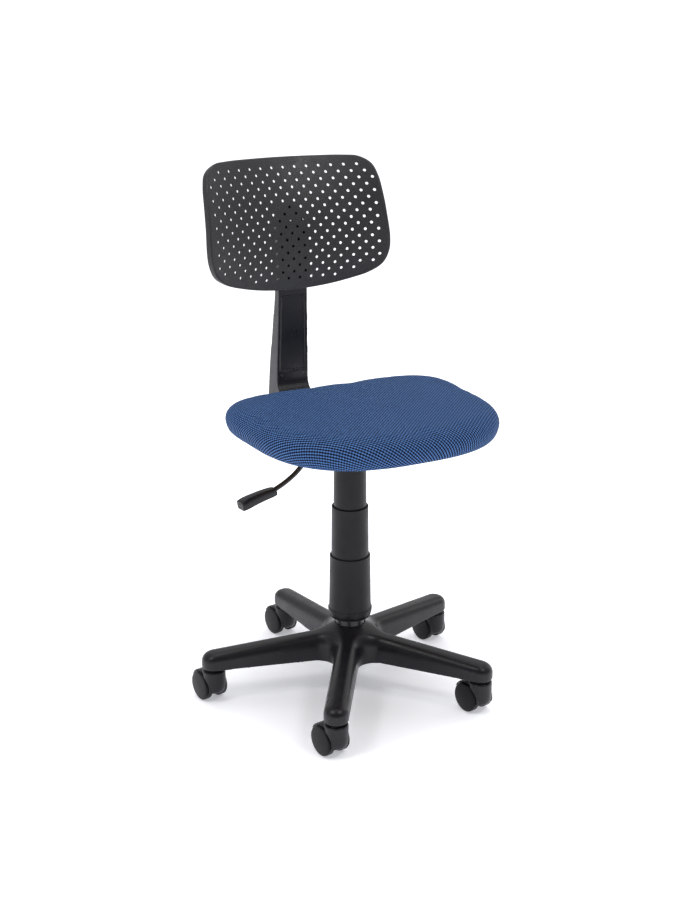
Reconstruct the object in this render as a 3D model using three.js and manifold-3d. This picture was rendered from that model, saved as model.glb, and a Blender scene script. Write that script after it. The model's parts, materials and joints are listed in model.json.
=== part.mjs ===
/**
 * Swivel office chair without arms: a five-legged star base on twin-wheel casters, a gas lift
 * under telescopic sleeves, a padded seat, and a bent back bar with a perforated backrest.
 *
 * Units are millimetres. +Z is up, the sitter faces -Y, and the floor is z = 0.
 * The group is shifted at the end so that its bounding box is centred on the Z axis.
 */
import * as THREE from "three";
import { mergeVertices } from "three/addons/utils/BufferGeometryUtils.js";
import Module from "manifold-3d";

const wasm = await Module();
wasm.setup();

// ---------------------------------------------------------------- driving dimensions

// Where the column's axis stands once the bounding box is centred on the origin.
const COLUMN_X = 6.27;
const COLUMN_Y = -17.37;

// Star base: five legs around the column, one of them pointing nearly straight back.
const LEG_COUNT = 5;
const FIRST_LEG_ANGLE = THREE.MathUtils.degToRad(-123.05);
const STEM_CIRCLE_RADIUS = 234.8;
const LEG_HALF_WIDTH = 20;
const LEG_BOTTOM = 61;
const LEG_END_TOP = 89.3;
const LEG_SHOULDER = 14;
const LEG_CROTCH_RADIUS = 27;
const LEG_WALL = 4;
const HUB_BOTTOM = 60;
const HUB_TOP = 116;
const HUB_RADIUS = 50;

// Gas lift: a tapered column tube holds a pressure cylinder that slides on a piston rod.
const TUBE_RADIUS = 25;
const TUBE_INNER_RADIUS = 22;
const TUBE_BOTTOM = 66;
const TUBE_TOP = 285;
const TAPER_TOP = 113;
const CYLINDER_RADIUS = 14;
const CYLINDER_BOTTOM = 226;
const CYLINDER_TOP = 452;
const ROD_RADIUS = 5;
const TUBE_SEGMENTS = 24;
const PIN_RADIUS = 4;
const PIN_TOP = 460.5;

// Telescopic sleeves around the lift, from the floor up.
const LOWER_SLEEVE = { bottom: 134.5, top: 245, topRadius: 34, wall: 1.8 };
const MIDDLE_SLEEVE = { bottom: 224, top: 332, bottomRadius: 31.5, topRadius: 30.5, wall: 1.8 };
const UPPER_SLEEVE = { bottom: 312, top: 438, bottomRadius: 27.6, topRadius: 26.5, wall: 1.2 };

// Casters: two wheels under one hood, all five trailing towards the back.
const CASTER_HEADING = THREE.MathUtils.degToRad(9.1);
const CASTER_TRAIL = 16;
const WHEEL_RADIUS = 25;
const WHEEL_SEGMENTS = 18;
const WEB_HALF_WIDTH = 7.8;
const WHEEL_INNER_FACE = 8.2;
const WHEEL_OUTER_FACE = 22.4;
const NECK_RADIUS = 19.3;
const NECK_TOP = 57;
const HOOD_HALF_WIDTH = 17.2;
const HOOD_RADIUS = 28.4;
const WHEEL_SPACE_RADIUS = 26.2;
const STEM_RADIUS = 5.5;
const STEM_PLAY = 0.3;
const STEM_SEGMENTS = 12;
const AXLE_RADIUS = 3;
const AXLE_HALF_LENGTH = 18.4;

// Seat pad: a rounded outline, wider than it is deep, with a fully rounded edge.
const PAD = {
  centreY: -55,
  centreZ: 497,
  halfWidth: 203,
  rearLength: 148.5,
  frontLength: 188.5,
  rearSquareness: 4.6,
  frontSquareness: 2.62,
  widening: 0.038,
  halfThickness: 24,
  edge: 24,
  crown: 3,
};
const PAD_SEGMENTS = 40;
const COVER_THICKNESS = 2;
const FIT_GAP = 0.3;
const BOARD_INSET = 24;
const BOARD_BOTTOM = 476;
const BOARD_THICKNESS = 10;

// Seat plate: a flanged steel box under the seat board, with a socket for the lift.
const PLATE = { top: 475.5, steel: 3, boxBottom: 446, flangeFront: -90, flangeRear: 20 };
const PLATE_BOLT_X = 62;
const PLATE_BOLT_Y = [-80, 10];

// Height lever: a bent rod through the plate's side wall, with a flattened grip.
const LEVER_AZIMUTH = THREE.MathUtils.degToRad(188);
const LEVER_RADIUS = 4;
const LEVER_HEIGHT = 465;

// Back bar: one moulded bar that runs back from the seat and bends upright.
const BAR_BOTTOM_HALF_WIDTH = 29.8;
const BAR_TOP_HALF_WIDTH = 26.9;
const BAR_BOLT_Y = [31, 50];
const BAR_SCREW = { x: 21, z: 505 };
const BACKREST_SCREW_Z = [700, 772];

// Backrest: a thin shell, dished from side to side and arched from top to bottom.
const SHELL = {
  y: 211.2,
  z: 768,
  lean: THREE.MathUtils.degToRad(12.24),
  arch: 0.002542,
  dish: 0.001525,
  smile: 0.000241,
  thickness: 4,
};

const REFERENCE_RADIUS = 100;

// ------------------------------------------------------------------------ finishes

const FINISHES = {
  nylon: { color: 0x2c2c30, roughness: 0.55, metalness: 0.0 },
  sleevePlastic: { color: 0x303033, roughness: 0.5, metalness: 0.0 },
  wheelPlastic: { color: 0x2a2b2e, roughness: 0.5, metalness: 0.0 },
  blackSteel: { color: 0x17171a, roughness: 0.3, metalness: 0.6 },
  zincSteel: { color: 0x9a9ca0, roughness: 0.35, metalness: 0.9 },
  chromedSteel: { color: 0xc8cacd, roughness: 0.15, metalness: 1.0 },
  bearingSteel: { color: 0x8a8c90, roughness: 0.3, metalness: 0.9 },
  bush: { color: 0xd9d7cf, roughness: 0.5, metalness: 0.0 },
  plywood: { color: 0xb08a5c, roughness: 0.8, metalness: 0.0 },
  foam: { color: 0xd8cf9e, roughness: 0.95, metalness: 0.0 },
  blueMesh: { color: 0x3e588a, roughness: 0.85, metalness: 0.0 },
  shellPlastic: { color: 0x323236, roughness: 0.6, metalness: 0.0 },
};

// ------------------------------------------------------------------------- helpers

/** Weld a geometry, drop its collapsed triangles and turn its faces outwards. */
function tidied(geometry) {
  const bare = geometry.clone();
  bare.deleteAttribute("normal");
  bare.deleteAttribute("uv");
  const welded = mergeVertices(bare, 1e-4);
  const corner = (i) => new THREE.Vector3().fromBufferAttribute(welded.attributes.position, i);
  const faces = [];
  let volume = 0;
  for (let i = 0; i < welded.index.count; i += 3) {
    const [a, b, c] = [0, 1, 2].map((k) => welded.index.getX(i + k));
    if (a === b || b === c || c === a) continue;
    faces.push([a, b, c]);
    volume += corner(a).dot(corner(b).cross(corner(c)));
  }
  const outward = volume > 0 ? faces : faces.map(([a, b, c]) => [a, c, b]);
  welded.setIndex(outward.flat());
  return welded;
}

function toSolid(geometry) {
  const mesh = tidied(geometry);
  return new wasm.Manifold(
    new wasm.Mesh({
      numProp: 3,
      vertProperties: new Float32Array(mesh.attributes.position.array),
      triVerts: new Uint32Array(mesh.index.array),
    }),
  );
}

function fromSolid(solid) {
  const mesh = solid.getMesh();
  const geometry = new THREE.BufferGeometry();
  geometry.setAttribute("position", new THREE.BufferAttribute(mesh.vertProperties, 3));
  geometry.setIndex(new THREE.BufferAttribute(mesh.triVerts, 1));
  return geometry;
}

function joined(...geometries) {
  return fromSolid(geometries.map(toSolid).reduce((sum, solid) => sum.add(solid)));
}

function cut(geometry, ...tools) {
  return fromSolid(tools.map(toSolid).reduce((rest, tool) => rest.subtract(tool), toSolid(geometry)));
}

/** Turn a closed outline of [radius, height] points about the Z axis. */
function turned(outline, segments) {
  const points = outline.map(([radius, height]) => new THREE.Vector2(radius, height));
  if (outline[0][0] > 0 || outline.at(-1)[0] > 0) points.push(points[0].clone());
  const geometry = new THREE.LatheGeometry(points, segments);
  return geometry.rotateX(Math.PI / 2);
}

/** A plain round pin or hole along Z. */
function round(radius, bottom, top, segments) {
  return turned([[0, bottom], [radius, bottom], [radius, top], [0, top]], segments);
}

function box(xMin, xMax, yMin, yMax, zMin, zMax) {
  const geometry = new THREE.BoxGeometry(xMax - xMin, yMax - yMin, zMax - zMin);
  return geometry.translate((xMin + xMax) / 2, (yMin + yMax) / 2, (zMin + zMax) / 2);
}

/** Extrude an outline of [y, z] points across X, centred on x = 0. */
function acrossX(outline, width) {
  const shape = new THREE.Shape(outline.map(([y, z]) => new THREE.Vector2(y, z)));
  const geometry = new THREE.ExtrudeGeometry(shape, { depth: width, bevelEnabled: false });
  geometry.translate(0, 0, -width / 2);
  // Shape X becomes Y, shape Y becomes Z, and the depth becomes X.
  return geometry.applyMatrix4(new THREE.Matrix4().set(0, 0, 1, 0, 1, 0, 0, 0, 0, 1, 0, 0, 0, 0, 0, 1));
}

function arc(centreY, centreZ, radius, fromDegrees, toDegrees, steps) {
  return Array.from({ length: steps + 1 }, (_, i) => {
    const angle = THREE.MathUtils.degToRad(fromDegrees + ((toDegrees - fromDegrees) * i) / steps);
    return [centreY + radius * Math.cos(angle), centreZ + radius * Math.sin(angle)];
  });
}

/** Move every vertex of a geometry by a function of its place. */
function reshaped(geometry, move) {
  const position = geometry.attributes.position;
  for (let i = 0; i < position.count; i += 1) {
    const [x, y, z] = move(position.getX(i), position.getY(i), position.getZ(i));
    position.setXYZ(i, x, y, z);
  }
  return geometry;
}

/**
 * Stretch a turned disc of REFERENCE_RADIUS over a free outline. The outer band, `edge` wide,
 * keeps its section, and what lies inside it is scaled.
 */
function stretchedOver(disc, rimPoint, edge) {
  return reshaped(disc, (x, y, z) => {
    const radius = Math.hypot(x, y);
    if (radius < 1e-9) return [0, 0, z];
    const rim = rimPoint(Math.atan2(y, x));
    const reach = Math.hypot(rim[0], rim[1]);
    const inner = REFERENCE_RADIUS - edge;
    const at = radius > inner ? reach - (REFERENCE_RADIUS - radius) : (radius / inner) * (reach - edge);
    return [(rim[0] / reach) * at, (rim[1] / reach) * at, z];
  });
}

const group = new THREE.Group();
group.name = "swivel_office_chair";

function add(name, geometry, finish, parent = group) {
  const mesh = new THREE.Mesh(tidied(geometry), new THREE.MeshStandardMaterial(FINISHES[finish]));
  mesh.name = name;
  parent.add(mesh);
  return mesh;
}

// ----------------------------------------------------------------------- star base

/** Height of a leg's top along its length: a gentle slope that steepens at the hub. */
function legTop(radius) {
  const slope = LEG_END_TOP + (STEM_CIRCLE_RADIUS - radius) * 0.105;
  const blend = Math.max(0, 56 - radius) / 26;
  return slope + 8 * blend * blend;
}

/** A leg along +X, open below, with `inset` taken off its sides and top. */
function legBody(stations, inset, bottom) {
  const half = LEG_HALF_WIDTH - inset;
  const shoulder = LEG_SHOULDER - inset;
  const flat = LEG_END_TOP - inset;
  const section = [
    [-half, bottom],
    [half, bottom],
    ...arc(half - shoulder, flat - shoulder, shoulder, 0, 90, 4),
    ...arc(shoulder - half, flat - shoulder, shoulder, 90, 180, 4),
  ];
  const shape = new THREE.Shape(section.map(([y, z]) => new THREE.Vector2(y, z)));
  const steps = stations.length - 1;
  const geometry = new THREE.ExtrudeGeometry(shape, { depth: steps, steps, bevelEnabled: false });
  geometry.applyMatrix4(new THREE.Matrix4().set(0, 0, 1, 0, 1, 0, 0, 0, 0, 1, 0, 0, 0, 0, 0, 1));
  return reshaped(geometry, (x, y, z) => {
    const radius = stations[Math.round(x)];
    return [radius, y, z > bottom + 1 ? z + legTop(radius) - LEG_END_TOP : z];
  });
}

/** The curved filling between the leg along +X and the next one round. */
function legCrotch() {
  const half = Math.PI / LEG_COUNT;
  const offset = LEG_HALF_WIDTH + LEG_CROTCH_RADIUS;
  const reach = offset / Math.sin(half);
  const [x, y] = [reach * Math.cos(half), reach * Math.sin(half)];
  const curve = arc(x, y, LEG_CROTCH_RADIUS, -90, -198, 6);
  const corners = [...curve, [0, 0]].map(([px, py]) => new THREE.Vector2(px, py));
  const shape = new THREE.Shape(corners);
  return new THREE.ExtrudeGeometry(shape, { depth: 29, bevelEnabled: false }).translate(0, 0, LEG_BOTTOM);
}

function starBase() {
  const hub = turned(
    [
      [24.3, HUB_BOTTOM],
      [HUB_RADIUS - 5, HUB_BOTTOM],
      [HUB_RADIUS, HUB_BOTTOM + 4],
      [HUB_RADIUS, 100],
      [43, 108.5],
      [33, HUB_TOP - 1],
      [28.5, HUB_TOP],
      [25.4, TAPER_TOP],
    ],
    TUBE_SEGMENTS,
  );
  const legEnd = turned(
    [
      [0, LEG_BOTTOM],
      [LEG_HALF_WIDTH, LEG_BOTTOM],
      ...arc(LEG_HALF_WIDTH - LEG_SHOULDER, LEG_END_TOP - LEG_SHOULDER, LEG_SHOULDER, 0, 90, 4),
      [0, LEG_END_TOP],
    ],
    16,
  ).translate(STEM_CIRCLE_RADIUS, 0, 0);
  const legStations = [30, 36, 44, 56, STEM_CIRCLE_RADIUS];
  const leg = joined(legBody(legStations, 0, LEG_BOTTOM), legEnd);
  const channel = legBody([54, 60, 208], LEG_WALL, LEG_BOTTOM - 10);
  const socket = round(STEM_RADIUS + STEM_PLAY, LEG_BOTTOM - 5, 82, STEM_SEGMENTS);
  socket.translate(STEM_CIRCLE_RADIUS, 0, 0);
  const wholeLeg = cut(leg, channel, socket);
  const legs = Array.from({ length: LEG_COUNT }, (_, i) => {
    return wholeLeg.clone().rotateZ(FIRST_LEG_ANGLE + (i * 2 * Math.PI) / LEG_COUNT);
  });
  const crotches = Array.from({ length: LEG_COUNT }, (_, i) => {
    return legCrotch().rotateZ(FIRST_LEG_ANGLE + (i * 2 * Math.PI) / LEG_COUNT);
  });
  const bore = turned(
    [[0, HUB_BOTTOM - 5], [24.2, HUB_BOTTOM - 5], [25.4, TAPER_TOP], [25.4, HUB_TOP + 10], [0, HUB_TOP + 10]],
    TUBE_SEGMENTS,
  );
  return cut(joined(hub, ...legs, ...crotches), bore);
}

add("star_base", starBase(), "nylon");

// ------------------------------------------------------------------------ gas lift

add(
  "gas_column_tube",
  turned(
    [
      [ROD_RADIUS + 0.6, TUBE_BOTTOM],
      [24.1, TUBE_BOTTOM],
      [TUBE_RADIUS, TAPER_TOP],
      [TUBE_RADIUS, TUBE_TOP],
      [TUBE_INNER_RADIUS, TUBE_TOP],
      [TUBE_INNER_RADIUS, TUBE_BOTTOM + 4],
      [ROD_RADIUS + 0.6, TUBE_BOTTOM + 4],
    ],
    TUBE_SEGMENTS,
  ),
  "blackSteel",
);

add(
  "column_guide_bush",
  turned(
    [
      [CYLINDER_RADIUS + 0.12, 206],
      [TUBE_INNER_RADIUS - 0.2, 206],
      [TUBE_INNER_RADIUS - 0.2, TUBE_TOP + FIT_GAP],
      [TUBE_RADIUS - 0.6, TUBE_TOP + FIT_GAP],
      [TUBE_RADIUS - 0.6, TUBE_TOP + 3],
      [CYLINDER_RADIUS + 0.12, TUBE_TOP + 3],
    ],
    TUBE_SEGMENTS,
  ),
  "bush",
);

add(
  "pressure_cylinder",
  turned(
    [
      [ROD_RADIUS + 0.2, CYLINDER_BOTTOM],
      [CYLINDER_RADIUS, CYLINDER_BOTTOM],
      [CYLINDER_RADIUS, 430],
      [13.3, CYLINDER_TOP],
      [PIN_RADIUS + 0.2, CYLINDER_TOP],
      [PIN_RADIUS + 0.2, 436],
      [10.6, 436],
      [10.6, CYLINDER_BOTTOM + 4],
      [ROD_RADIUS + 0.2, CYLINDER_BOTTOM + 4],
    ],
    24,
  ),
  "chromedSteel",
);

const BEARING_TOP = 77.9;
add(
  "piston_rod",
  turned(
    [
      [0, 60.5],
      [ROD_RADIUS, 60.5],
      [ROD_RADIUS, 62],
      [4.2, 62],
      [4.2, 65.3],
      [ROD_RADIUS, 65.3],
      [ROD_RADIUS, BEARING_TOP + FIT_GAP],
      [9, BEARING_TOP + FIT_GAP],
      [9, 80.5],
      [ROD_RADIUS, 80.5],
      [ROD_RADIUS, 236],
      [10.2, 236],
      [10.2, 244],
      [0, 244],
    ],
    20,
  ),
  "chromedSteel",
);

add("retaining_clip", turned([[4.5, 62.3], [8.5, 62.3], [8.5, 65], [4.5, 65]], 20), "bearingSteel");

add(
  "thrust_bearing",
  turned([[6, TUBE_BOTTOM + 4.3], [15, TUBE_BOTTOM + 4.3], [15, BEARING_TOP], [6, BEARING_TOP]], 20),
  "bearingSteel",
);

add(
  "release_pin",
  turned(
    [[0, 439.5], [PIN_RADIUS, 439.5], [PIN_RADIUS, PIN_TOP - 0.8], [PIN_RADIUS - 0.8, PIN_TOP], [0, PIN_TOP]],
    16,
  ),
  "bearingSteel",
);

// --------------------------------------------------------------- telescopic sleeves

add(
  "lower_sleeve",
  turned(
    [
      [TUBE_RADIUS + 0.6, LOWER_SLEEVE.bottom],
      [31, LOWER_SLEEVE.bottom],
      [33.6, 135.8],
      [36.2, 140.5],
      [37.3, 145],
      [37.3, 149],
      [35.2, 160],
      [LOWER_SLEEVE.topRadius, LOWER_SLEEVE.top - 0.6],
      [LOWER_SLEEVE.topRadius - 0.6, LOWER_SLEEVE.top],
      [LOWER_SLEEVE.topRadius - LOWER_SLEEVE.wall, LOWER_SLEEVE.top],
      [LOWER_SLEEVE.topRadius - LOWER_SLEEVE.wall, 138],
      [TUBE_RADIUS + 0.6, 138],
    ],
    TUBE_SEGMENTS,
  ),
  "sleevePlastic",
);

/** A slightly tapered open tube with a softened top rim. */
function sleeve({ bottom, top, bottomRadius, topRadius, wall }) {
  return turned(
    [
      [bottomRadius, bottom],
      [topRadius, top - 0.6],
      [topRadius - 0.5, top],
      [topRadius - wall, top],
      [bottomRadius - wall, bottom],
    ],
    TUBE_SEGMENTS,
  );
}

add("middle_sleeve", sleeve(MIDDLE_SLEEVE), "sleevePlastic");
add("upper_sleeve", sleeve(UPPER_SLEEVE), "sleevePlastic");

// --------------------------------------------------------------- seat plate, lever

function seatPlate() {
  const { top, steel, boxBottom, flangeFront, flangeRear } = PLATE;
  const under = top - steel;
  const flange = box(-75, 75, flangeFront, flangeRear, under, top);
  const shell = box(-44, 44, flangeFront + 12, flangeRear - 1, boxBottom, under + 1);
  const inside = box(-41, 41, flangeFront + 15, flangeRear - 4, boxBottom + steel, under);
  const boss = round(18, 420, boxBottom + 1, 24);
  const bore = turned([[0, 415], [14.35, 415], [14.35, 430], [13.7, 451], [0, 451]], 24);
  const side = LEVER_AZIMUTH;
  const slot = box(36, 50, -7, 7, LEVER_HEIGHT - 8, LEVER_HEIGHT + 7).rotateZ(side);
  const boltHoles = PLATE_BOLT_Y.flatMap((y) => {
    return [-PLATE_BOLT_X, PLATE_BOLT_X].map((x) => round(3.4, under - 1, top + 1, 12).translate(x, y, 0));
  });
  return cut(joined(flange, shell, boss), inside, bore, slot, ...boltHoles);
}

add("seat_plate", seatPlate(), "blackSteel");

/** A bolt driven upwards, its hexagonal head below `under`. */
function bolt(under, headRadius, shankRadius, length) {
  const head = turned(
    [[0, under - 4.2], [headRadius - 0.8, under - 4.2], [headRadius, under - 3.4], [headRadius, under], [0, under]],
    12,
  );
  return joined(head, round(shankRadius, under - 1, under + length, 12));
}

let boltNumber = 0;
for (const y of PLATE_BOLT_Y) {
  for (const x of [-PLATE_BOLT_X, PLATE_BOLT_X]) {
    boltNumber += 1;
    const geometry = bolt(PLATE.top - PLATE.steel - FIT_GAP, 5.5, 3, 11).translate(x, y, 0);
    add(`seat_bolt_${boltNumber}`, geometry, "zincSteel");
  }
}

/** The lever's own path in its upright plane: distance out from the column, then height. */
const LEVER_PATH = [
  [-2, LEVER_HEIGHT],
  [46, LEVER_HEIGHT],
  [66, 455],
  [80, 437.5],
  [92, 423.5],
  [106, 411],
  [123, 400.8],
  [137, 394.5],
  [152, 389],
];

function leverRod() {
  const path = new THREE.CatmullRomCurve3(
    LEVER_PATH.map(([out, height]) => new THREE.Vector3(out, 0, height)),
    false,
    "centripetal",
  );
  const section = new THREE.Shape().absarc(0, 0, LEVER_RADIUS, 0, 2 * Math.PI);
  const options = { steps: 18, curveSegments: 5, extrudePath: path, bevelEnabled: false };
  return new THREE.ExtrudeGeometry(section, options).rotateZ(LEVER_AZIMUTH);
}

/** A flattened grip that widens outwards, bored for the end of the rod. */
function leverGrip() {
  const [rodEnd, rodHeight] = LEVER_PATH.at(-1);
  const droop = Math.atan2(11, 62);
  const body = new THREE.BoxGeometry(66, 24, 17, 4, 3, 2);
  reshaped(body, (x, y, z) => {
    const along = (x + 33) / 66;
    const width = 0.72 + 0.27 * along;
    const thickness = 0.84 + 0.2 * along;
    const soften = Math.abs(y) > 11 ? 0.72 : 1;
    const blunt = x > 32.9 || x < -32.9 ? 0.86 : 1;
    return [x, y * width * blunt, z * thickness * soften * blunt];
  });
  body.rotateY(droop).translate(rodEnd + 27, 0, rodHeight - 6);
  const bore = new THREE.CylinderGeometry(LEVER_RADIUS + FIT_GAP, LEVER_RADIUS + FIT_GAP, 30, 10);
  bore.rotateZ(Math.PI / 2).rotateY(Math.atan2(5.5, 15)).translate(rodEnd - 12.5, 0, rodHeight + 4.6);
  return cut(body, bore).rotateZ(LEVER_AZIMUTH);
}

add("lever_rod", leverRod(), "blackSteel");
add("lever_grip", leverGrip(), "nylon");

// ------------------------------------------------------------------------ seat pad

/** The pad's rim in plan, seen from the pad's centre, at a bearing. */
function padRim(bearing, inset = 0) {
  const { halfWidth, rearLength, frontLength, rearSquareness, frontSquareness, widening } = PAD;
  const [c, s] = [Math.cos(bearing), Math.sin(bearing)];
  const power = s > 0 ? rearSquareness : frontSquareness;
  const length = s > 0 ? rearLength : frontLength;
  const reach = (Math.abs(c / halfWidth) ** power + Math.abs(s / length) ** power) ** (-1 / power);
  const y = s * reach;
  const x = c * reach * (1 + (widening * y) / 200);
  const full = Math.hypot(x, y);
  return [x * (1 - inset / full), y * (1 - inset / full)];
}

/** The pad's rounded form, `inset` inside its outer face. */
function padForm(inset) {
  const { halfThickness, edge, crown, centreY, centreZ } = PAD;
  const depth = halfThickness - inset;
  const band = edge - inset;
  const rim = arc(REFERENCE_RADIUS - edge, 0, 1, -90, 90, 6).map(([cos, sin]) => {
    return [REFERENCE_RADIUS - edge + (cos - (REFERENCE_RADIUS - edge)) * band, sin * depth];
  });
  const profile = [[0, -depth], ...rim, [38, depth + crown * 0.75], [0, depth + crown]];
  const disc = turned(profile, PAD_SEGMENTS);
  return stretchedOver(disc, padRim, edge).translate(0, centreY, centreZ);
}

/** The pad's outline in plan as an upright plug, `inset` inside its rim. */
function padPlug(inset, bottom, top) {
  const disc = turned([[0, bottom], [REFERENCE_RADIUS, bottom], [REFERENCE_RADIUS, top], [0, top]], PAD_SEGMENTS);
  return stretchedOver(disc, (bearing) => padRim(bearing, inset), 1).translate(0, PAD.centreY, 0);
}

const boardTop = BOARD_BOTTOM + BOARD_THICKNESS;
const boardBoltHoles = [
  ...PLATE_BOLT_Y.flatMap((y) => [-PLATE_BOLT_X, PLATE_BOLT_X].map((x) => [x, y])),
  ...BAR_BOLT_Y.map((y) => [0, y]),
].map(([x, y]) => round(3.4, BOARD_BOTTOM - 2, boardTop + 2, 12).translate(x, y, 0));

add("seat_board", cut(padPlug(BOARD_INSET, BOARD_BOTTOM, boardTop), ...boardBoltHoles), "plywood");

const foamForm = padForm(COVER_THICKNESS + FIT_GAP);
const boardPocket = padPlug(BOARD_INSET - FIT_GAP, PAD.centreZ - 40, boardTop + FIT_GAP);
add("seat_foam", cut(foamForm, boardPocket), "foam");

const coverMouth = padPlug(BOARD_INSET + 10, PAD.centreZ - 40, PAD.centreZ - 10);
add("seat_cover", cut(padForm(0), padForm(COVER_THICKNESS), coverMouth), "blueMesh");

// ------------------------------------------------------------------------ backrest

/** Place a point of the backrest: x across, v up from the middle, depth square to its front. */
function onShell(x, v, depth) {
  const rise = v - SHELL.smile * x * x;
  const forward = SHELL.dish * x * x;
  const [cos, sin] = [Math.cos(SHELL.lean), Math.sin(SHELL.lean)];
  const steep = sin + SHELL.arch * rise;
  const [droop, bend] = [-2 * SHELL.smile * x, 2 * SHELL.dish * x];
  const across = new THREE.Vector3(1, droop * steep - bend * cos, droop * cos + bend * sin);
  const back = new THREE.Vector3(0, steep, cos).cross(across).normalize();
  return [
    x + back.x * depth,
    SHELL.y + rise * sin + SHELL.arch * rise * rise * 0.5 - forward * cos + back.y * depth,
    SHELL.z + rise * cos + forward * sin + back.z * depth,
  ];
}

/** Right half of the backrest's outline, from the middle of its top to that of its bottom. */
const SHELL_HALF_OUTLINE = [
  [0, 110.4],
  [60, 110],
  [108, 109],
  [132, 106.3],
  [150.2, 94],
  [157.5, 73],
  [160.6, 45],
  [163.2, 5],
  [165.2, -32],
  [163, -55],
  [153, -77],
  [132, -91.8],
  [99.5, -102.3],
  [55, -111],
  [0, -114.6],
];

const shellOutline = new THREE.CatmullRomCurve3(
  [
    ...SHELL_HALF_OUTLINE,
    ...SHELL_HALF_OUTLINE.slice(1, -1).reverse().map(([x, v]) => [-x, v]),
  ].map(([x, v]) => new THREE.Vector3(x, v, 0)),
  true,
  "centripetal",
);

/** The outline's point at a bearing counted anticlockwise from +X. */
function shellRim(bearing) {
  const turn = (Math.PI / 2 - bearing) / (2 * Math.PI);
  const point = shellOutline.getPointAt(((turn % 1) + 1) % 1);
  return [point.x, point.y];
}

function backrestShell() {
  const r = REFERENCE_RADIUS;
  const t = SHELL.thickness;
  const profile = [
    [0, 0],
    [30, 0],
    [60, 0],
    [r - 9, 0],
    [r - 3, 0.1],
    [r, 2.4],
    [r, 9.6],
    [r - 1.4, 11.2],
    [r - 3.4, 10.8],
    [r - 5, t],
    [r - 9, t],
    [60, t],
    [30, t],
    [0, t],
  ];
  const disc = stretchedOver(turned(profile, 48), shellRim, 9);
  const shell = reshaped(disc, (x, v, depth) => onShell(x, v, depth));
  const screwHoles = BACKREST_SCREW_Z.map((z) => backrestScrewHole(z));
  // The rolled rim is notched where the bar passes behind it.
  const seatForBar = [690, 672, 655, 640].map((z) => [shellFrontY(z) + t + 0.05, z]);
  const notch = acrossX([[245, 690], ...seatForBar, [245, 640]], 2 * BAR_TOP_HALF_WIDTH + 4);
  return cut(shell, notch, ...screwHoles);
}

/** Y of the backrest's front face on the chair's middle plane, at a height. */
function shellFrontY(z) {
  const rise = (z - SHELL.z) / Math.cos(SHELL.lean);
  return onShell(0, rise, 0)[1];
}

/** A blind hole in the back of the shell for a screw driven forwards. */
function backrestScrewHole(z) {
  const hole = new THREE.CylinderGeometry(2.2, 2.2, 20, 10);
  return hole.translate(0, shellFrontY(z) + 1.6 + 10, z);
}

add("backrest_shell", backrestShell(), "shellPlastic");

// ------------------------------------------------------------------------ back bar

/** Half the bar's width at a height: it narrows upwards and ends in a rounded tip. */
function barHalfWidth(z) {
  const share = THREE.MathUtils.clamp((z - 504) / (640 - 504), 0, 1);
  const plain = THREE.MathUtils.lerp(BAR_BOTTOM_HALF_WIDTH, BAR_TOP_HALF_WIDTH, share);
  const tip = THREE.MathUtils.clamp((z - 750) / 52, 0, 1);
  return plain * (1 - 0.42 * tip * tip);
}

/** Front face of the bar from below the tip to the bend, as [y, z] points. */
function barFront(offset) {
  const behindShell = [801, 780, 755, 725, 695, 665, 652].map((z) => {
    return [shellFrontY(z) + SHELL.thickness + 0.8 + offset, z];
  });
  return [
    ...behindShell,
    [208.4 + offset, 640],
    [210.5 + offset, 587],
    [212.8 + offset, 533],
    [213.8 + offset, 504],
  ];
}

function backBar() {
  const outline = [
    [24, 456],
    [60, 456],
    ...arc(232, 464, 21.5, 270, 360, 5),
    [245.2, 526],
    [235.7, 582],
    [225.5, 649],
    [226.5, 690],
    [229, 740],
    [232, 790],
    [231.5, 801],
    ...barFront(0),
    ...arc(187.8, 498.5, 26, 0, -90, 5),
    [58, 472.5],
    [58, BOARD_BOTTOM - FIT_GAP],
    [24, BOARD_BOTTOM - FIT_GAP],
  ];
  const solid = acrossX(outline, 2);
  reshaped(solid, (x, y, z) => [x * barHalfWidth(z), y, z]);
  // The front panel is sunk between two side flanges.
  const panel = acrossX(
    [[214, 511], [206, 511], [203, 646], [210.6, 646], [213, 587], [215.3, 533], [216, 513]].map(
      ([y, z]) => [y, z],
    ),
    2,
  );
  reshaped(panel, (x, y, z) => [x * (barHalfWidth(z) - 5), y, z]);
  // The back is a channel, open to the rear, from the bend to the tip.
  const channel = acrossX(
    [[270, 478], [222.5, 478], [221.5, 533], [219, 587], [216.8, 640], [217.2, 652], [221, 700], [270, 700]],
    2,
  );
  reshaped(channel, (x, y, z) => [x * (barHalfWidth(z) - 4.5), y, z]);
  // The run under the seat is a channel too, open below.
  const trough = box(-24, 24, 72, 214, 430, 465);
  const boltHoles = BAR_BOLT_Y.map((y) => round(3.4, 450, 480, 12).translate(0, y, 0));
  const screwHoles = BACKREST_SCREW_Z.map((z) => {
    return new THREE.CylinderGeometry(2.3, 2.3, 40, 10).translate(0, shellFrontY(z) + 15, z);
  });
  const plugHoles = [-1, 1].map((side) => {
    const hole = new THREE.CylinderGeometry(3.3, 3.3, 6, 12);
    return hole.translate(side * BAR_SCREW.x, 213.8, BAR_SCREW.z);
  });
  return cut(solid, panel, channel, trough, ...boltHoles, ...screwHoles, ...plugHoles);
}

add("back_bar", backBar(), "nylon");

BAR_BOLT_Y.forEach((y, i) => {
  const geometry = bolt(455.7, 6, 3, 27).translate(0, y, 0);
  add(`back_bar_bolt_${i + 1}`, geometry, "zincSteel");
});

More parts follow.
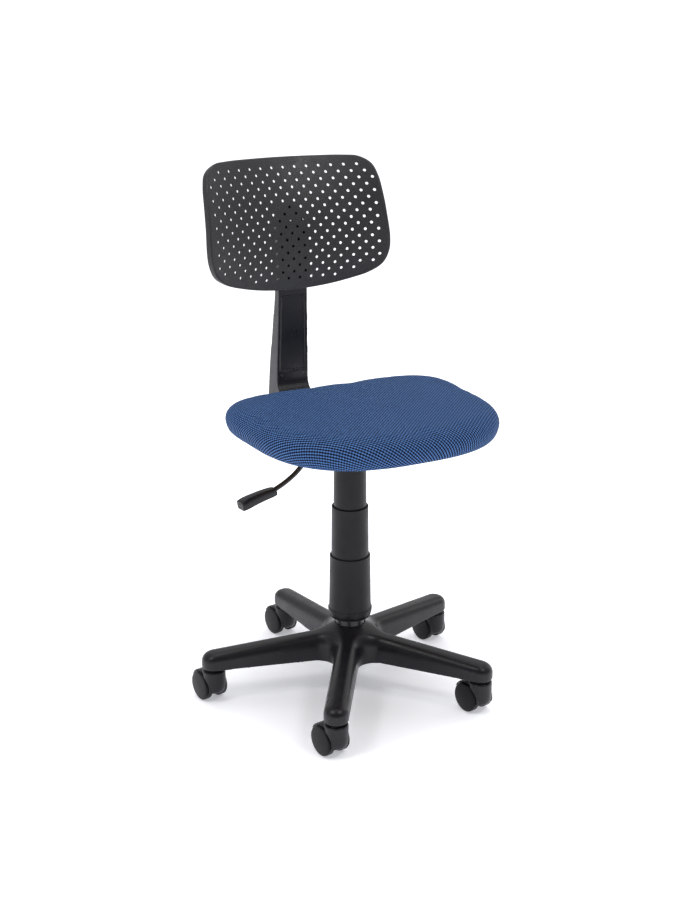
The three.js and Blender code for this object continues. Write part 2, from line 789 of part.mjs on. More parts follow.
["left", "right"].forEach((side, i) => {
  const profile = [[0, 0], [3, 0], [3, 1.6], [1.9, 2.4], [0, 2.4]];
  const head = turned(profile, 12).rotateX(-Math.PI / 2);
  add(
    `back_bar_screw_${side}`,
    head.translate((i === 0 ? 1 : -1) * BAR_SCREW.x, 214.2, BAR_SCREW.z),
    "blackSteel",
  );
});

["lower", "upper"].forEach((place, i) => {
  const z = BACKREST_SCREW_Z[i];
  const front = shellFrontY(z) + 2;
  // The head bears on the bar's rear face, and the shank ends inside the shell.
  const rear = z < 710 ? 227.6 : 231.6;
  const reach = rear - front;
  const profile = [[0, -2.6], [3.6, -2.6], [4.6, -1.6], [4.6, 0], [2, 0], [2, reach], [0, reach]];
  const screw = turned(profile, 12).rotateX(Math.PI / 2);
  add(`backrest_screw_${place}`, screw.translate(0, rear, z), "zincSteel");
});

// ------------------------------------------------------------------------- casters

/** Lay something turned about Z along X, at the height of a wheel's axle. */
function onAxle(geometry) {
  return geometry.rotateY(Math.PI / 2).translate(0, CASTER_TRAIL, WHEEL_RADIUS);
}

/** One hood: a round neck over a fender and a web between the wheels. */
function casterHood() {
  const neck = turned(
    [
      [0, 16],
      [11.5, 16],
      [16.4, 20],
      [18.8, 27],
      [NECK_RADIUS, 34],
      [NECK_RADIUS, NECK_TOP - 1],
      [NECK_RADIUS - 0.8, NECK_TOP],
      [0, NECK_TOP],
    ],
    18,
  );
  const fender = acrossX(
    [[CASTER_TRAIL, WHEEL_RADIUS], ...arc(CASTER_TRAIL, WHEEL_RADIUS, HOOD_RADIUS, 28, 194, 9)],
    2 * HOOD_HALF_WIDTH,
  );
  const web = onAxle(round(12, -WEB_HALF_WIDTH, WEB_HALF_WIDTH, 12));
  const [from, to] = [WEB_HALF_WIDTH, NECK_RADIUS + 5];
  const spaces = [[from, to], [-to, -from]].map(([a, b]) => onAxle(round(WHEEL_SPACE_RADIUS, a, b, 18)));
  const axleHole = onAxle(round(AXLE_RADIUS + 0.2, -10, 10, 12));
  const stemHole = round(STEM_RADIUS + STEM_PLAY, 34.6, 60, STEM_SEGMENTS);
  return cut(joined(neck, fender, web), ...spaces, axleHole, stemHole);
}

function casterStem() {
  return turned(
    [
      [0, 35],
      [STEM_RADIUS, 35],
      [STEM_RADIUS, NECK_TOP + 0.1],
      [9, NECK_TOP + 0.1],
      [9, LEG_BOTTOM - 0.1],
      [STEM_RADIUS, LEG_BOTTOM - 0.1],
      [STEM_RADIUS, 80],
      [STEM_RADIUS - 1, 81],
      [0, 81],
    ],
    STEM_SEGMENTS,
  );
}

/** A wheel on the +X side: a flat tread and a domed outer face, with a flat tread facet down. */
function casterWheel() {
  const tread = WHEEL_RADIUS / Math.cos(Math.PI / WHEEL_SEGMENTS);
  const wheel = turned(
    [
      [AXLE_RADIUS + 0.15, WHEEL_INNER_FACE],
      [tread - 1, WHEEL_INNER_FACE],
      [tread, WHEEL_INNER_FACE + 1],
      [tread, 18.2],
      [tread - 1.5, 20.3],
      [tread - 8, 21.6],
      [0, WHEEL_OUTER_FACE],
      [0, AXLE_HALF_LENGTH + 0.3],
      [AXLE_RADIUS + 0.15, AXLE_HALF_LENGTH + 0.3],
    ],
    WHEEL_SEGMENTS,
  );
  return onAxle(wheel);
}

const hood = casterHood();
const stem = casterStem();
const axle = onAxle(round(AXLE_RADIUS, -AXLE_HALF_LENGTH, AXLE_HALF_LENGTH, 12));
const rightWheel = casterWheel();
const leftWheel = tidied(rightWheel.clone().scale(-1, 1, 1));

for (let i = 0; i < LEG_COUNT; i += 1) {
  const bearing = FIRST_LEG_ANGLE + (i * 2 * Math.PI) / LEG_COUNT;
  const caster = new THREE.Group();
  caster.name = `caster_${i + 1}`;
  caster.position.set(STEM_CIRCLE_RADIUS * Math.cos(bearing), STEM_CIRCLE_RADIUS * Math.sin(bearing), 0);
  caster.rotation.z = CASTER_HEADING;
  group.add(caster);
  add(`caster_${i + 1}_stem`, stem, "zincSteel", caster);
  add(`caster_${i + 1}_hood`, hood, "nylon", caster);
  add(`caster_${i + 1}_axle`, axle, "zincSteel", caster);
  add(`caster_${i + 1}_wheel_left`, leftWheel, "wheelPlastic", caster);
  add(`caster_${i + 1}_wheel_right`, rightWheel, "wheelPlastic", caster);
}

group.position.set(COLUMN_X, COLUMN_Y, 0);

export default group;
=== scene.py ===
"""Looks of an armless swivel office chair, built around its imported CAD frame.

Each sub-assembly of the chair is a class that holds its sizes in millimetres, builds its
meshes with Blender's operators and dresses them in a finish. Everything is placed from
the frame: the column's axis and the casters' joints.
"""

from __future__ import annotations

import json
import logging
import math
from collections.abc import Callable, Iterator
from contextlib import contextmanager
from dataclasses import dataclass, field
from enum import Enum

import bpy
from mathutils import Matrix, Vector


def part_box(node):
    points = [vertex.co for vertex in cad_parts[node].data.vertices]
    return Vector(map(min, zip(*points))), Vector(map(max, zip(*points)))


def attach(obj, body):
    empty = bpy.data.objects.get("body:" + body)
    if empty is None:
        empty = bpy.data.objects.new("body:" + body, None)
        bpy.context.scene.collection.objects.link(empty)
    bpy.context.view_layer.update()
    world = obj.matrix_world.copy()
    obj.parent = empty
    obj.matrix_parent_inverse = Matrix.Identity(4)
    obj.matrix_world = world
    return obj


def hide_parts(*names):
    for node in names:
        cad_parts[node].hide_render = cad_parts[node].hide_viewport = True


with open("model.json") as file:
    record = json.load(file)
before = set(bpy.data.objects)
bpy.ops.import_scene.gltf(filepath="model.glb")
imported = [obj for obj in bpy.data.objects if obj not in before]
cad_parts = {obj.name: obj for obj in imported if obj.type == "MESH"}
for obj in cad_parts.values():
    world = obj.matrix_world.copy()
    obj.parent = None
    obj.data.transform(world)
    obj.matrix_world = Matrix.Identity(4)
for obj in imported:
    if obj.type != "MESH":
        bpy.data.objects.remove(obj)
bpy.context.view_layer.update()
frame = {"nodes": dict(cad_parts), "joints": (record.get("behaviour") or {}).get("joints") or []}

MM = 0.001
FULL_TURN = 2 * math.pi
WELD = 1e-6

Colour = tuple[float, float, float]
Point2 = tuple[float, float]
Tint = tuple[float, float, float, float]

log = logging.getLogger("chair")


class Slot(Enum):
    """Material slots that the record names."""

    NYLON = "nylon"
    SLEEVE = "sleeve_plastic"
    WHEEL = "wheel_plastic"
    BLACK_STEEL = "black_steel"
    ZINC = "zinc_steel"
    CHROME = "chromed_steel"
    BEARING = "bearing_steel"
    BUSH = "bush"
    PLYWOOD = "plywood"
    FOAM = "foam"
    MESH_FABRIC = "blue_mesh"
    SHELL = "shell_plastic"


class Body(Enum):
    """Moving bodies of the frame that new pieces ride on."""

    BASE = "base"
    MIDDLE_SLEEVE = "middle_sleeve_body"
    SEAT = "seat"
    LEVER = "lever"


# ------------------------------------------------------------------------- frame


@dataclass(frozen=True)
class Joint:
    """One joint of the frame, in metres."""

    name: str
    position: Vector
    axis: Vector


class ChairFrame:
    """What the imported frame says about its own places."""

    def joint(self, name: str) -> Joint:
        """Find a joint of the frame.

        Args:
            name: The joint's name in the record.

        Returns:
            The joint, with its place and axis.
        """
        entry = next(j for j in frame["joints"] if j["name"] == name)
        return Joint(name, Vector(entry.get("pos_m", (0, 0, 0))), Vector(entry["axis"]))

    def column_axis(self) -> Vector:
        """Return the point on the floor under the gas lift."""
        low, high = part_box("pressure_cylinder")
        return Vector(((low.x + high.x) / 2, (low.y + high.y) / 2, 0))


# ------------------------------------------------------------------- modelling bench


class Bench:
    """Modelling steps, each done with Blender's operators on one piece."""

    @staticmethod
    def clear() -> None:
        """Leave edit mode and deselect everything."""
        active = bpy.context.view_layer.objects.active
        if active and active.mode != "OBJECT":
            bpy.ops.object.mode_set(mode="OBJECT")
        bpy.ops.object.select_all(action="DESELECT")

    @staticmethod
    def activate(piece: bpy.types.Object) -> None:
        """Make a piece the only selected one.

        Args:
            piece: The object to work on.
        """
        Bench.clear()
        piece.select_set(True)
        bpy.context.view_layer.objects.active = piece

    @staticmethod
    def christen(piece: bpy.types.Object, name: str) -> None:
        """Give a piece and its data the same name."""
        piece.name = name
        piece.data.name = name

    @staticmethod
    @contextmanager
    def editing() -> Iterator[None]:
        """Edit the active mesh with all of it selected, and leave edit mode afterwards."""
        bpy.ops.object.mode_set(mode="EDIT")
        bpy.ops.mesh.select_all(action="SELECT")
        yield
        bpy.ops.object.mode_set(mode="OBJECT")

    @staticmethod
    def face_out() -> None:
        """Turn all normals of the mesh in edit mode outwards."""
        bpy.ops.mesh.select_all(action="SELECT")
        bpy.ops.mesh.normals_make_consistent(inside=False)

    @staticmethod
    def chain(name: str, points: list[Vector], close: bool = True) -> bpy.types.Object:
        """Draw a chain of edges by extruding one vertex from point to point.

        Args:
            name: The new object's name.
            points: The chain's points in metres.
            close: Whether the last point joins the first.

        Returns:
            The new mesh object.
        """
        Bench.clear()
        bpy.ops.mesh.primitive_plane_add(size=MM, location=(0, 0, 0))
        piece = bpy.context.object
        Bench.christen(piece, name)
        route = points + points[:1] if close else points
        with Bench.editing():
            bpy.ops.mesh.merge(type="CENTER")
            bpy.ops.transform.translate(value=route[0])
            for start, end in zip(route, route[1:]):
                bpy.ops.mesh.extrude_region_move(TRANSFORM_OT_translate={"value": end - start})
            bpy.ops.mesh.select_all(action="SELECT")
            bpy.ops.mesh.remove_doubles(threshold=WELD)
        return piece

    @staticmethod
    def turned(name: str, profile: list[Point2], segments: int) -> bpy.types.Object:
        """Spin a profile about the Z axis.

        Args:
            name: The new object's name.
            profile: Points of radius and height in millimetres. A profile that starts and
                ends on the axis is left open there, and any other is closed.
            segments: Steps around the full turn.

        Returns:
            The closed, turned piece.
        """
        points = [Vector((radius * MM, 0, height * MM)) for radius, height in profile]
        on_axis = profile[0][0] == 0 and profile[-1][0] == 0
        piece = Bench.chain(name, points, close=not on_axis)
        with Bench.editing():
            bpy.ops.mesh.spin(steps=segments, angle=FULL_TURN, center=(0, 0, 0), axis=(0, 0, 1))
            bpy.ops.mesh.select_all(action="SELECT")
            bpy.ops.mesh.remove_doubles(threshold=WELD)
            bpy.ops.mesh.normals_make_consistent(inside=False)
        return piece

    @staticmethod
    def slab(name: str, outline: list[Vector], across: Vector) -> bpy.types.Object:
        """Fill a closed outline and extrude it.

        Args:
            name: The new object's name.
            outline: The outline's points in metres.
            across: The extrusion, in metres. The outline lies in its middle.

        Returns:
            The closed slab.
        """
        piece = Bench.chain(name, [point - across / 2 for point in outline])
        with Bench.editing():
            bpy.ops.mesh.edge_face_add()
            bpy.ops.mesh.extrude_region_move(TRANSFORM_OT_translate={"value": across})
            Bench.face_out()
        return piece

    @staticmethod
    def bevel_edges(
        piece: bpy.types.Object, wanted: Callable[[Vector, Vector], bool], width: float, segments: int
    ) -> None:
        """Bevel the edges that a test picks.

        Args:
            piece: The object to bevel.
            wanted: A test of an edge's two end points, in metres.
            width: The bevel's width in millimetres.
            segments: The bevel's steps.
        """
        Bench.activate(piece)
        bpy.ops.object.mode_set(mode="EDIT")
        bpy.ops.mesh.select_mode(type="EDGE")
        bpy.ops.mesh.select_all(action="DESELECT")
        bpy.ops.object.mode_set(mode="OBJECT")
        mesh = piece.data
        for edge in mesh.edges:
            ends = [mesh.vertices[i].co for i in edge.vertices]
            edge.select = bool(wanted(ends[0], ends[1]))
        bpy.ops.object.mode_set(mode="EDIT")
        bpy.ops.mesh.bevel(offset=width * MM, segments=segments, affect="EDGES", clamp_overlap=False)
        bpy.ops.mesh.select_mode(type="VERT")
        bpy.ops.object.mode_set(mode="OBJECT")

    @staticmethod
    def settle(piece: bpy.types.Object, place: Matrix) -> bpy.types.Object:
        """Move a piece and apply its place to its mesh.

        Args:
            piece: The object to move.
            place: Where it goes.

        Returns:
            The same object, now at the origin.
        """
        Bench.activate(piece)
        piece.matrix_world = place
        bpy.ops.object.transform_apply(location=True, rotation=True, scale=True)
        return piece

    @staticmethod
    def reshape(piece: bpy.types.Object, move: Callable[[Vector], Vector]) -> None:
        """Move every vertex by a function of its place.

        Args:
            piece: The object to reshape.
            move: Takes a point in metres and returns its new place.
        """
        for vertex in piece.data.vertices:
            vertex.co = move(vertex.co)
        piece.data.update()

    @staticmethod
    def modify(piece: bpy.types.Object, kind: str, **settings: object) -> None:
        """Add a modifier and apply it.

        Args:
            piece: The object to change.
            kind: The modifier's type.
            **settings: Its properties.
        """
        Bench.activate(piece)
        modifier = piece.modifiers.new(kind.title(), kind)
        for name, value in settings.items():
            setattr(modifier, name, value)
        bpy.ops.object.modifier_apply(modifier=modifier.name)

    @staticmethod
    def carve(piece: bpy.types.Object, *cutters: bpy.types.Object) -> None:
        """Cut other solids out of a piece and discard them.

        Args:
            piece: The object to cut.
            *cutters: Closed solids to take away.
        """
        for cutter in cutters:
            Bench.modify(piece, "BOOLEAN", operation="DIFFERENCE", object=cutter, solver="EXACT")
            bpy.data.objects.remove(cutter)

    @staticmethod
    def cast(name: str, parts: list[bpy.types.Object], voxel: float, smoothing: int) -> bpy.types.Object:
        """Fuse overlapping solids into one moulding with softly blended corners.

        Args:
            name: The moulding's name.
            parts: Closed solids that overlap.
            voxel: The remesh's cell in millimetres.
            smoothing: Rounds of smoothing.

        Returns:
            The moulding.
        """
        Bench.activate(parts[0])
        for part in parts[1:]:
            part.select_set(True)
        if len(parts) > 1:
            bpy.ops.object.join()
        piece = bpy.context.view_layer.objects.active
        Bench.christen(piece, name)
        Bench.modify(piece, "REMESH", mode="VOXEL", voxel_size=voxel * MM, use_smooth_shade=True)
        if smoothing:
            Bench.modify(piece, "SMOOTH", factor=0.5, iterations=smoothing)
        return piece

    @staticmethod
    def copy(piece: bpy.types.Object, name: str) -> bpy.types.Object:
        """Copy a piece with a mesh of its own.

        Args:
            piece: The object to copy.
            name: The copy's name.

        Returns:
            The copy.
        """
        twin = piece.copy()
        twin.data = piece.data.copy()
        Bench.christen(twin, name)
        bpy.context.scene.collection.objects.link(twin)
        return twin

    @staticmethod
    def soften(piece: bpy.types.Object, degrees: float = 40) -> None:
        """Shade a piece smooth, and keep its sharp corners.

        Args:
            piece: The object to shade.
            degrees: Corners above this angle stay sharp.
        """
        Bench.activate(piece)
        bpy.ops.object.shade_smooth_by_angle(angle=math.radians(degrees))


def arc(centre: Point2, radius: float, start: float, end: float, steps: int) -> list[Point2]:
    """List the points of an arc.

    Args:
        centre: The arc's centre.
        radius: Its radius.
        start: Its first angle in degrees.
        end: Its last angle in degrees.
        steps: How many stretches it has.

    Returns:
        The points, both ends included.
    """
    angles = [math.radians(start + (end - start) * i / steps) for i in range(steps + 1)]
    return [(centre[0] + radius * math.cos(a), centre[1] + radius * math.sin(a)) for a in angles]


# ------------------------------------------------------------------------ finishes


class Wiring:
    """A node tree, with short ways to add and wire its nodes."""

    def __init__(self, tree: bpy.types.NodeTree) -> None:
        """Take up a node tree."""
        self.tree = tree

    def node(self, kind: str, settings: dict[str, object] | None = None, **inputs: object) -> bpy.types.Node:
        """Add a node.

        Args:
            kind: The node's type.
            settings: Its properties.
            **inputs: Values or sockets for its inputs. An underscore stands for a space.

        Returns:
            The node.
        """
        node = self.tree.nodes.new(kind)
        for key, value in (settings or {}).items():
            setattr(node, key, value)
        for key, value in inputs.items():
            self.feed(node.inputs[key.replace("_", " ")], value)
        return node

    def feed(self, socket: bpy.types.NodeSocket, value: object) -> None:
        """Give a socket a value, or wire another socket to it.

        Args:
            socket: The input.
            value: A number, a colour or an output socket.
        """
        if isinstance(value, bpy.types.NodeSocket):
            self.tree.links.new(value, socket)
        else:
            socket.default_value = value

    def maths(self, operation: str, *values: object) -> bpy.types.NodeSocket:
        """Return the result of a Math node with the given operands."""
        node = self.tree.nodes.new("ShaderNodeMath")
        node.operation = operation
        for socket, value in zip(node.inputs, values):
            self.feed(socket, value)
        return node.outputs[0]

    def remap(
        self, value: bpy.types.NodeSocket, old: Point2, new: Point2 = (0, 1), kind: str = "LINEAR"
    ) -> bpy.types.NodeSocket:
        """Stretch a value from one range over another.

        Args:
            value: The value.
            old: The range that it is read from.
            new: The range that it is stretched over.
            kind: How it runs between the ends.

        Returns:
            The stretched value.
        """
        node = self.node("ShaderNodeMapRange", {"interpolation_type": kind}, Value=value)
        for name, number in zip(("From Min", "From Max", "To Min", "To Max"), (*old, *new)):
            node.inputs[name].default_value = number
        return node.outputs["Result"]


class Recipe(Wiring):
    """A material and its node tree."""

    def __init__(self, name: str) -> None:
        """Start an empty material.

        Args:
            name: The material's name.
        """
        self.material = bpy.data.materials.new(name)
        self.material.use_nodes = True
        super().__init__(self.material.node_tree)
        self.shader = self.tree.nodes["Principled BSDF"]

    def finish(self, **inputs: object) -> bpy.types.Material:
        """Set inputs of the shader, an underscore for a space, and return the material."""
        for key, value in inputs.items():
            self.feed(self.shader.inputs[key.replace("_", " ")], value)
        return self.material

    def place(self) -> bpy.types.NodeSocket:
        """Return the object coordinates."""
        return self.node("ShaderNodeTexCoord").outputs["Object"]

    def noise(self, place: bpy.types.NodeSocket, size: float, detail: float = 3) -> bpy.types.NodeSocket:
        """Return cloudy noise from 0 to 1, with features of a size in millimetres."""
        scale = 1 / (size * MM)
        return self.node("ShaderNodeTexNoise", Vector=place, Scale=scale, Detail=detail).outputs["Fac"]

    def pebbles(self, place: bpy.types.NodeSocket, size: float) -> bpy.types.NodeSocket:
        """Add rounded cells, as on a grained mould.

        Args:
            place: Coordinates.
            size: The cells' size in millimetres.

        Returns:
            The distance from each cell's middle.
        """
        settings = {"feature": "SMOOTH_F1"}
        node = self.node("ShaderNodeTexVoronoi", settings, Vector=place, Scale=1 / (size * MM))
        node.inputs["Smoothness"].default_value = 0.6
        return node.outputs["Distance"]

    def span(self, value: bpy.types.NodeSocket, low: float, high: float) -> bpy.types.NodeSocket:
        """Stretch the middle of a noise, from 0.3 to 0.7, over another range."""
        return self.remap(value, (0.3, 0.7), (low, high))

    def blend(self, share: bpy.types.NodeSocket, first: object, second: object) -> bpy.types.NodeSocket:
        """Mix two colours by a share from 0 to 1, and return the mix."""
        node = self.tree.nodes.new("ShaderNodeMix")
        node.data_type = "RGBA"
        for socket, value in (("Factor", share), (6, first), (7, second)):
            self.feed(node.inputs[socket], value)
        return node.outputs[2]

    def bump(
        self,
        height: bpy.types.NodeSocket,
        depth: float,
        strength: float,
        under: bpy.types.NodeSocket | None = None,
    ) -> bpy.types.NodeSocket:
        """Turn a height into a normal.

        Args:
            height: The height from 0 to 1.
            depth: What a height of 1 stands for, in millimetres.
            strength: The bump's strength.
            under: Another normal that this one adds to.

        Returns:
            The normal.
        """
        node = self.node("ShaderNodeBump", None, Height=height, Strength=strength, Distance=depth * MM)
        if under is not None:
            self.feed(node.inputs["Normal"], under)
        return node.outputs["Normal"]


def tint(colour: Colour, by: float) -> Tint:
    """Return a linear colour scaled by a factor, with alpha 1."""
    return (colour[0] * by, colour[1] * by, colour[2] * by, 1.0)


@dataclass(frozen=True)
class MouldedPlastic:
    """Black moulded plastic with a pebbled grain, uneven gloss and rubbed edges."""

    name: str
    colour: Colour
    roughness: float
    grain_size: float
    grain_depth: float
    gloss: float = 0.5
    wear: float = 0.35

    def material(self) -> bpy.types.Material:
        """Build the finish and return it."""
        recipe = Recipe(self.name)
        place = recipe.place()
        clouds = recipe.noise(place, 70)
        shade = recipe.blend(recipe.span(clouds, 0, 1), tint(self.colour, 0.85), tint(self.colour, 1.18))
        edge = recipe.node("ShaderNodeNewGeometry").outputs["Pointiness"]
        rubbed = recipe.remap(edge, (0.53, 0.62), (0, self.wear))
        patchy = recipe.maths("MULTIPLY", rubbed, recipe.span(recipe.noise(place, 9), 0.1, 1))
        colour = recipe.blend(patchy, shade, tint(self.colour, 2.6))
        smears = recipe.noise(place, 28, 4)
        roughness = recipe.span(smears, self.roughness - 0.05, self.roughness + 0.07)
        waves = recipe.bump(recipe.noise(place, 14, 2), 0.12, 0.25)
        grain = recipe.bump(recipe.pebbles(place, self.grain_size), self.grain_depth, 0.6, waves)
        return recipe.finish(
            Base_Color=colour, Roughness=roughness, Specular_IOR_Level=self.gloss, Normal=grain
        )


@dataclass(frozen=True)
class SpacerMesh:
    """Knitted spacer mesh: staggered holes between shiny crossing yarns."""

    name: str
    yarn: Colour
    shadow: Colour
    pitch: float
    depth: float

    def material(self) -> bpy.types.Material:
        """Build the finish and return it."""
        recipe = Recipe(self.name)
        weave = recipe.node("ShaderNodeUVMap", {"uv_map": "weave"}).outputs["UV"]
        wobble = recipe.node("ShaderNodeTexNoise", None, Vector=weave, Scale=90.0, Detail=2.0)
        nudge = recipe.node("ShaderNodeVectorMath", {"operation": "MULTIPLY_ADD"})
        recipe.feed(nudge.inputs[0], wobble.outputs["Color"])
        nudge.inputs[1].default_value = (0.0007, 0.0007, 0)
        recipe.feed(nudge.inputs[2], weave)
        parts = recipe.node("ShaderNodeSeparateXYZ", None, Vector=nudge.outputs[0])
        turns = FULL_TURN / (self.pitch * MM)
        slants = [
            recipe.maths("COSINE", recipe.maths("MULTIPLY", recipe.maths(way, *parts.outputs[:2]), turns))
            for way in ("ADD", "SUBTRACT")
        ]
        strong = recipe.maths("MULTIPLY", slants[0], 0.6)
        lattice = recipe.maths("MULTIPLY_ADD", slants[1], 0.4, strong)
        hole = recipe.remap(lattice, (-0.5, 0.3), kind="SMOOTHSTEP")
        rib = recipe.maths("MULTIPLY_ADD", slants[0], -0.5, 0.5)
        fibre = recipe.noise(weave, 0.55, 2)
        fading = recipe.span(recipe.noise(weave, 60, 3), 0, 1)
        lit = recipe.blend(recipe.span(fibre, 0, 1), tint(self.yarn, 0.78), tint(self.yarn, 1.2))
        aged = recipe.blend(fading, lit, tint(self.yarn, 0.93))
        raised = recipe.maths("SUBTRACT", 1.0, hole)
        height = recipe.maths("MULTIPLY_ADD", rib, 0.25, raised)
        knit = recipe.bump(height, self.depth, 0.9)
        return recipe.finish(
            Base_Color=recipe.blend(hole, aged, tint(self.shadow, 1)),
            Roughness=recipe.span(fibre, 0.6, 0.8),
            Specular_IOR_Level=0.10,
            Normal=recipe.bump(fibre, 0.12, 0.4, knit),
        )


@dataclass(frozen=True)
class Metal:
    """Machined or plated steel with fine scratches and an uneven film of oil."""

    name: str
    colour: Colour
    roughness: float
    metallic: float
    scratch: float = 0.08

    def material(self) -> bpy.types.Material:
        """Build the finish and return it."""
        recipe = Recipe(self.name)
        place = recipe.place()
        film = recipe.noise(place, 16, 4)
        colour = recipe.blend(recipe.span(film, 0, 1), tint(self.colour, 0.82), tint(self.colour, 1.06))
        drawn = recipe.node("ShaderNodeMapping", None, Vector=place)
        drawn.inputs["Scale"].default_value = (1, 1, 14)
        scratches = recipe.noise(drawn.outputs["Vector"], 3, 5)
        return recipe.finish(
            Base_Color=colour,
            Roughness=recipe.span(film, self.roughness, self.roughness + 0.14),
            Metallic=self.metallic,
            Normal=recipe.bump(scratches, 0.05, self.scratch * 4),
        )


@dataclass(frozen=True)
class Timber:
    """Rotary-cut plywood: wandering grain, pores and a dry surface."""

    name: str
    light: Colour
    dark: Colour

    def material(self) -> bpy.types.Material:
        """Build the finish and return it."""
        recipe = Recipe(self.name)
        along = recipe.node("ShaderNodeMapping", None, Vector=recipe.place())
        along.inputs["Scale"].default_value = (1, 0.09, 1)
        figure = recipe.noise(along.outputs["Vector"], 14, 5)
        pores = recipe.noise(along.outputs["Vector"], 1.4, 2)
        colour = recipe.blend(recipe.span(figure, 0, 1), tint(self.light, 1), tint(self.dark, 1))
        speckled = recipe.blend(recipe.span(pores, 0, 0.5), colour, tint(self.dark, 0.7))
        rough = recipe.span(pores, 0.68, 0.85)
        return recipe.finish(Base_Color=speckled, Roughness=rough, Normal=recipe.bump(pores, 0.15, 0.5))


@dataclass(frozen=True)
class FoamRubber:
    """Open-cell foam: small pits and a slightly yellowed skin."""

    name: str
    colour: Colour

    def material(self) -> bpy.types.Material:
        """Build the finish and return it."""
        recipe = Recipe(self.name)
        place = recipe.place()
        cells = recipe.pebbles(place, 1.6)
        colour = recipe.blend(recipe.span(cells, 0, 1), tint(self.colour, 0.75), tint(self.colour, 1.05))
        rough = recipe.span(recipe.noise(place, 20), 0.85, 0.98)
        return recipe.finish(Base_Color=colour, Roughness=rough, Normal=recipe.bump(cells, 0.6, 0.8))


Finish = MouldedPlastic | SpacerMesh | Metal | Timber | FoamRubber

FINISHES: dict[Slot, Finish] = {
    Slot.NYLON: MouldedPlastic("grained_nylon", (0.0072, 0.0072, 0.0098), 0.31, 0.9, 0.16, 0.31),
    Slot.SLEEVE: MouldedPlastic("satin_sleeve", (0.0070, 0.0070, 0.0082), 0.42, 0.6, 0.04, 0.24, 0.2),
    Slot.WHEEL: MouldedPlastic("wheel_plastic", (0.0040, 0.0041, 0.0058), 0.33, 0.7, 0.06, 0.16),
    Slot.SHELL: MouldedPlastic("grained_shell", (0.0140, 0.0140, 0.0160), 0.46, 0.9, 0.16, 0.48),
    Slot.BUSH: MouldedPlastic("natural_acetal", (0.70, 0.69, 0.64), 0.45, 1.2, 0.03, 0.5, 0.0),
    Slot.BLACK_STEEL: Metal("black_painted_steel", (0.011, 0.011, 0.012), 0.22, 0.0),
    Slot.ZINC: Metal("zinc_plated_steel", (0.55, 0.56, 0.57), 0.30, 0.95),
    Slot.CHROME: Metal("ground_chrome", (0.72, 0.73, 0.74), 0.10, 1.0, 0.03),
    Slot.BEARING: Metal("bearing_steel", (0.42, 0.43, 0.45), 0.25, 1.0),
    Slot.PLYWOOD: Timber("seat_plywood", (0.52, 0.35, 0.19), (0.33, 0.19, 0.09)),
    Slot.FOAM: FoamRubber("seat_foam_rubber", (0.70, 0.62, 0.36)),
    Slot.MESH_FABRIC: SpacerMesh(
        "blue_spacer_mesh", (0.090, 0.206, 0.490), (0.0020, 0.005, 0.022), 6.0, 1.2
    ),
}


class Wardrobe:
    """Makes each finish once and dresses pieces in it."""

    def __init__(self) -> None:
        """Start with no finish made."""
        self._made: dict[Slot, bpy.types.Material] = {}

    def material(self, slot: Slot) -> bpy.types.Material:
        """Return a slot's material, made on first use."""
        if slot not in self._made:
            self._made[slot] = FINISHES[slot].material()
        return self._made[slot]

    def dress(self, piece: bpy.types.Object, slot: Slot) -> None:
        """Give a piece the finish of a slot.

        Args:
            piece: The object to dress.
            slot: The slot.
        """
        piece.data.materials.clear()
        piece.data.materials.append(self.material(slot))

    def deliver(
        self, piece: bpy.types.Object, body: str, slot: Slot, *replaced: str, degrees: float = 40
    ) -> None:
        """Dress a finished piece and hand it to the frame.

        Args:
            piece: The finished piece.
            body: The body that it rides on.
            slot: The slot that it takes its finish from.
            *replaced: CAD nodes that it stands for.
            degrees: Corners above this angle stay sharp.
        """
        self.dress(piece, slot)
        Bench.soften(piece, degrees)
        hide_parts(*replaced)
        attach(piece, body)
        log.info("%s: %d faces on %s", piece.name, len(piece.data.polygons), body)


# ------------------------------------------------------------------------ star base


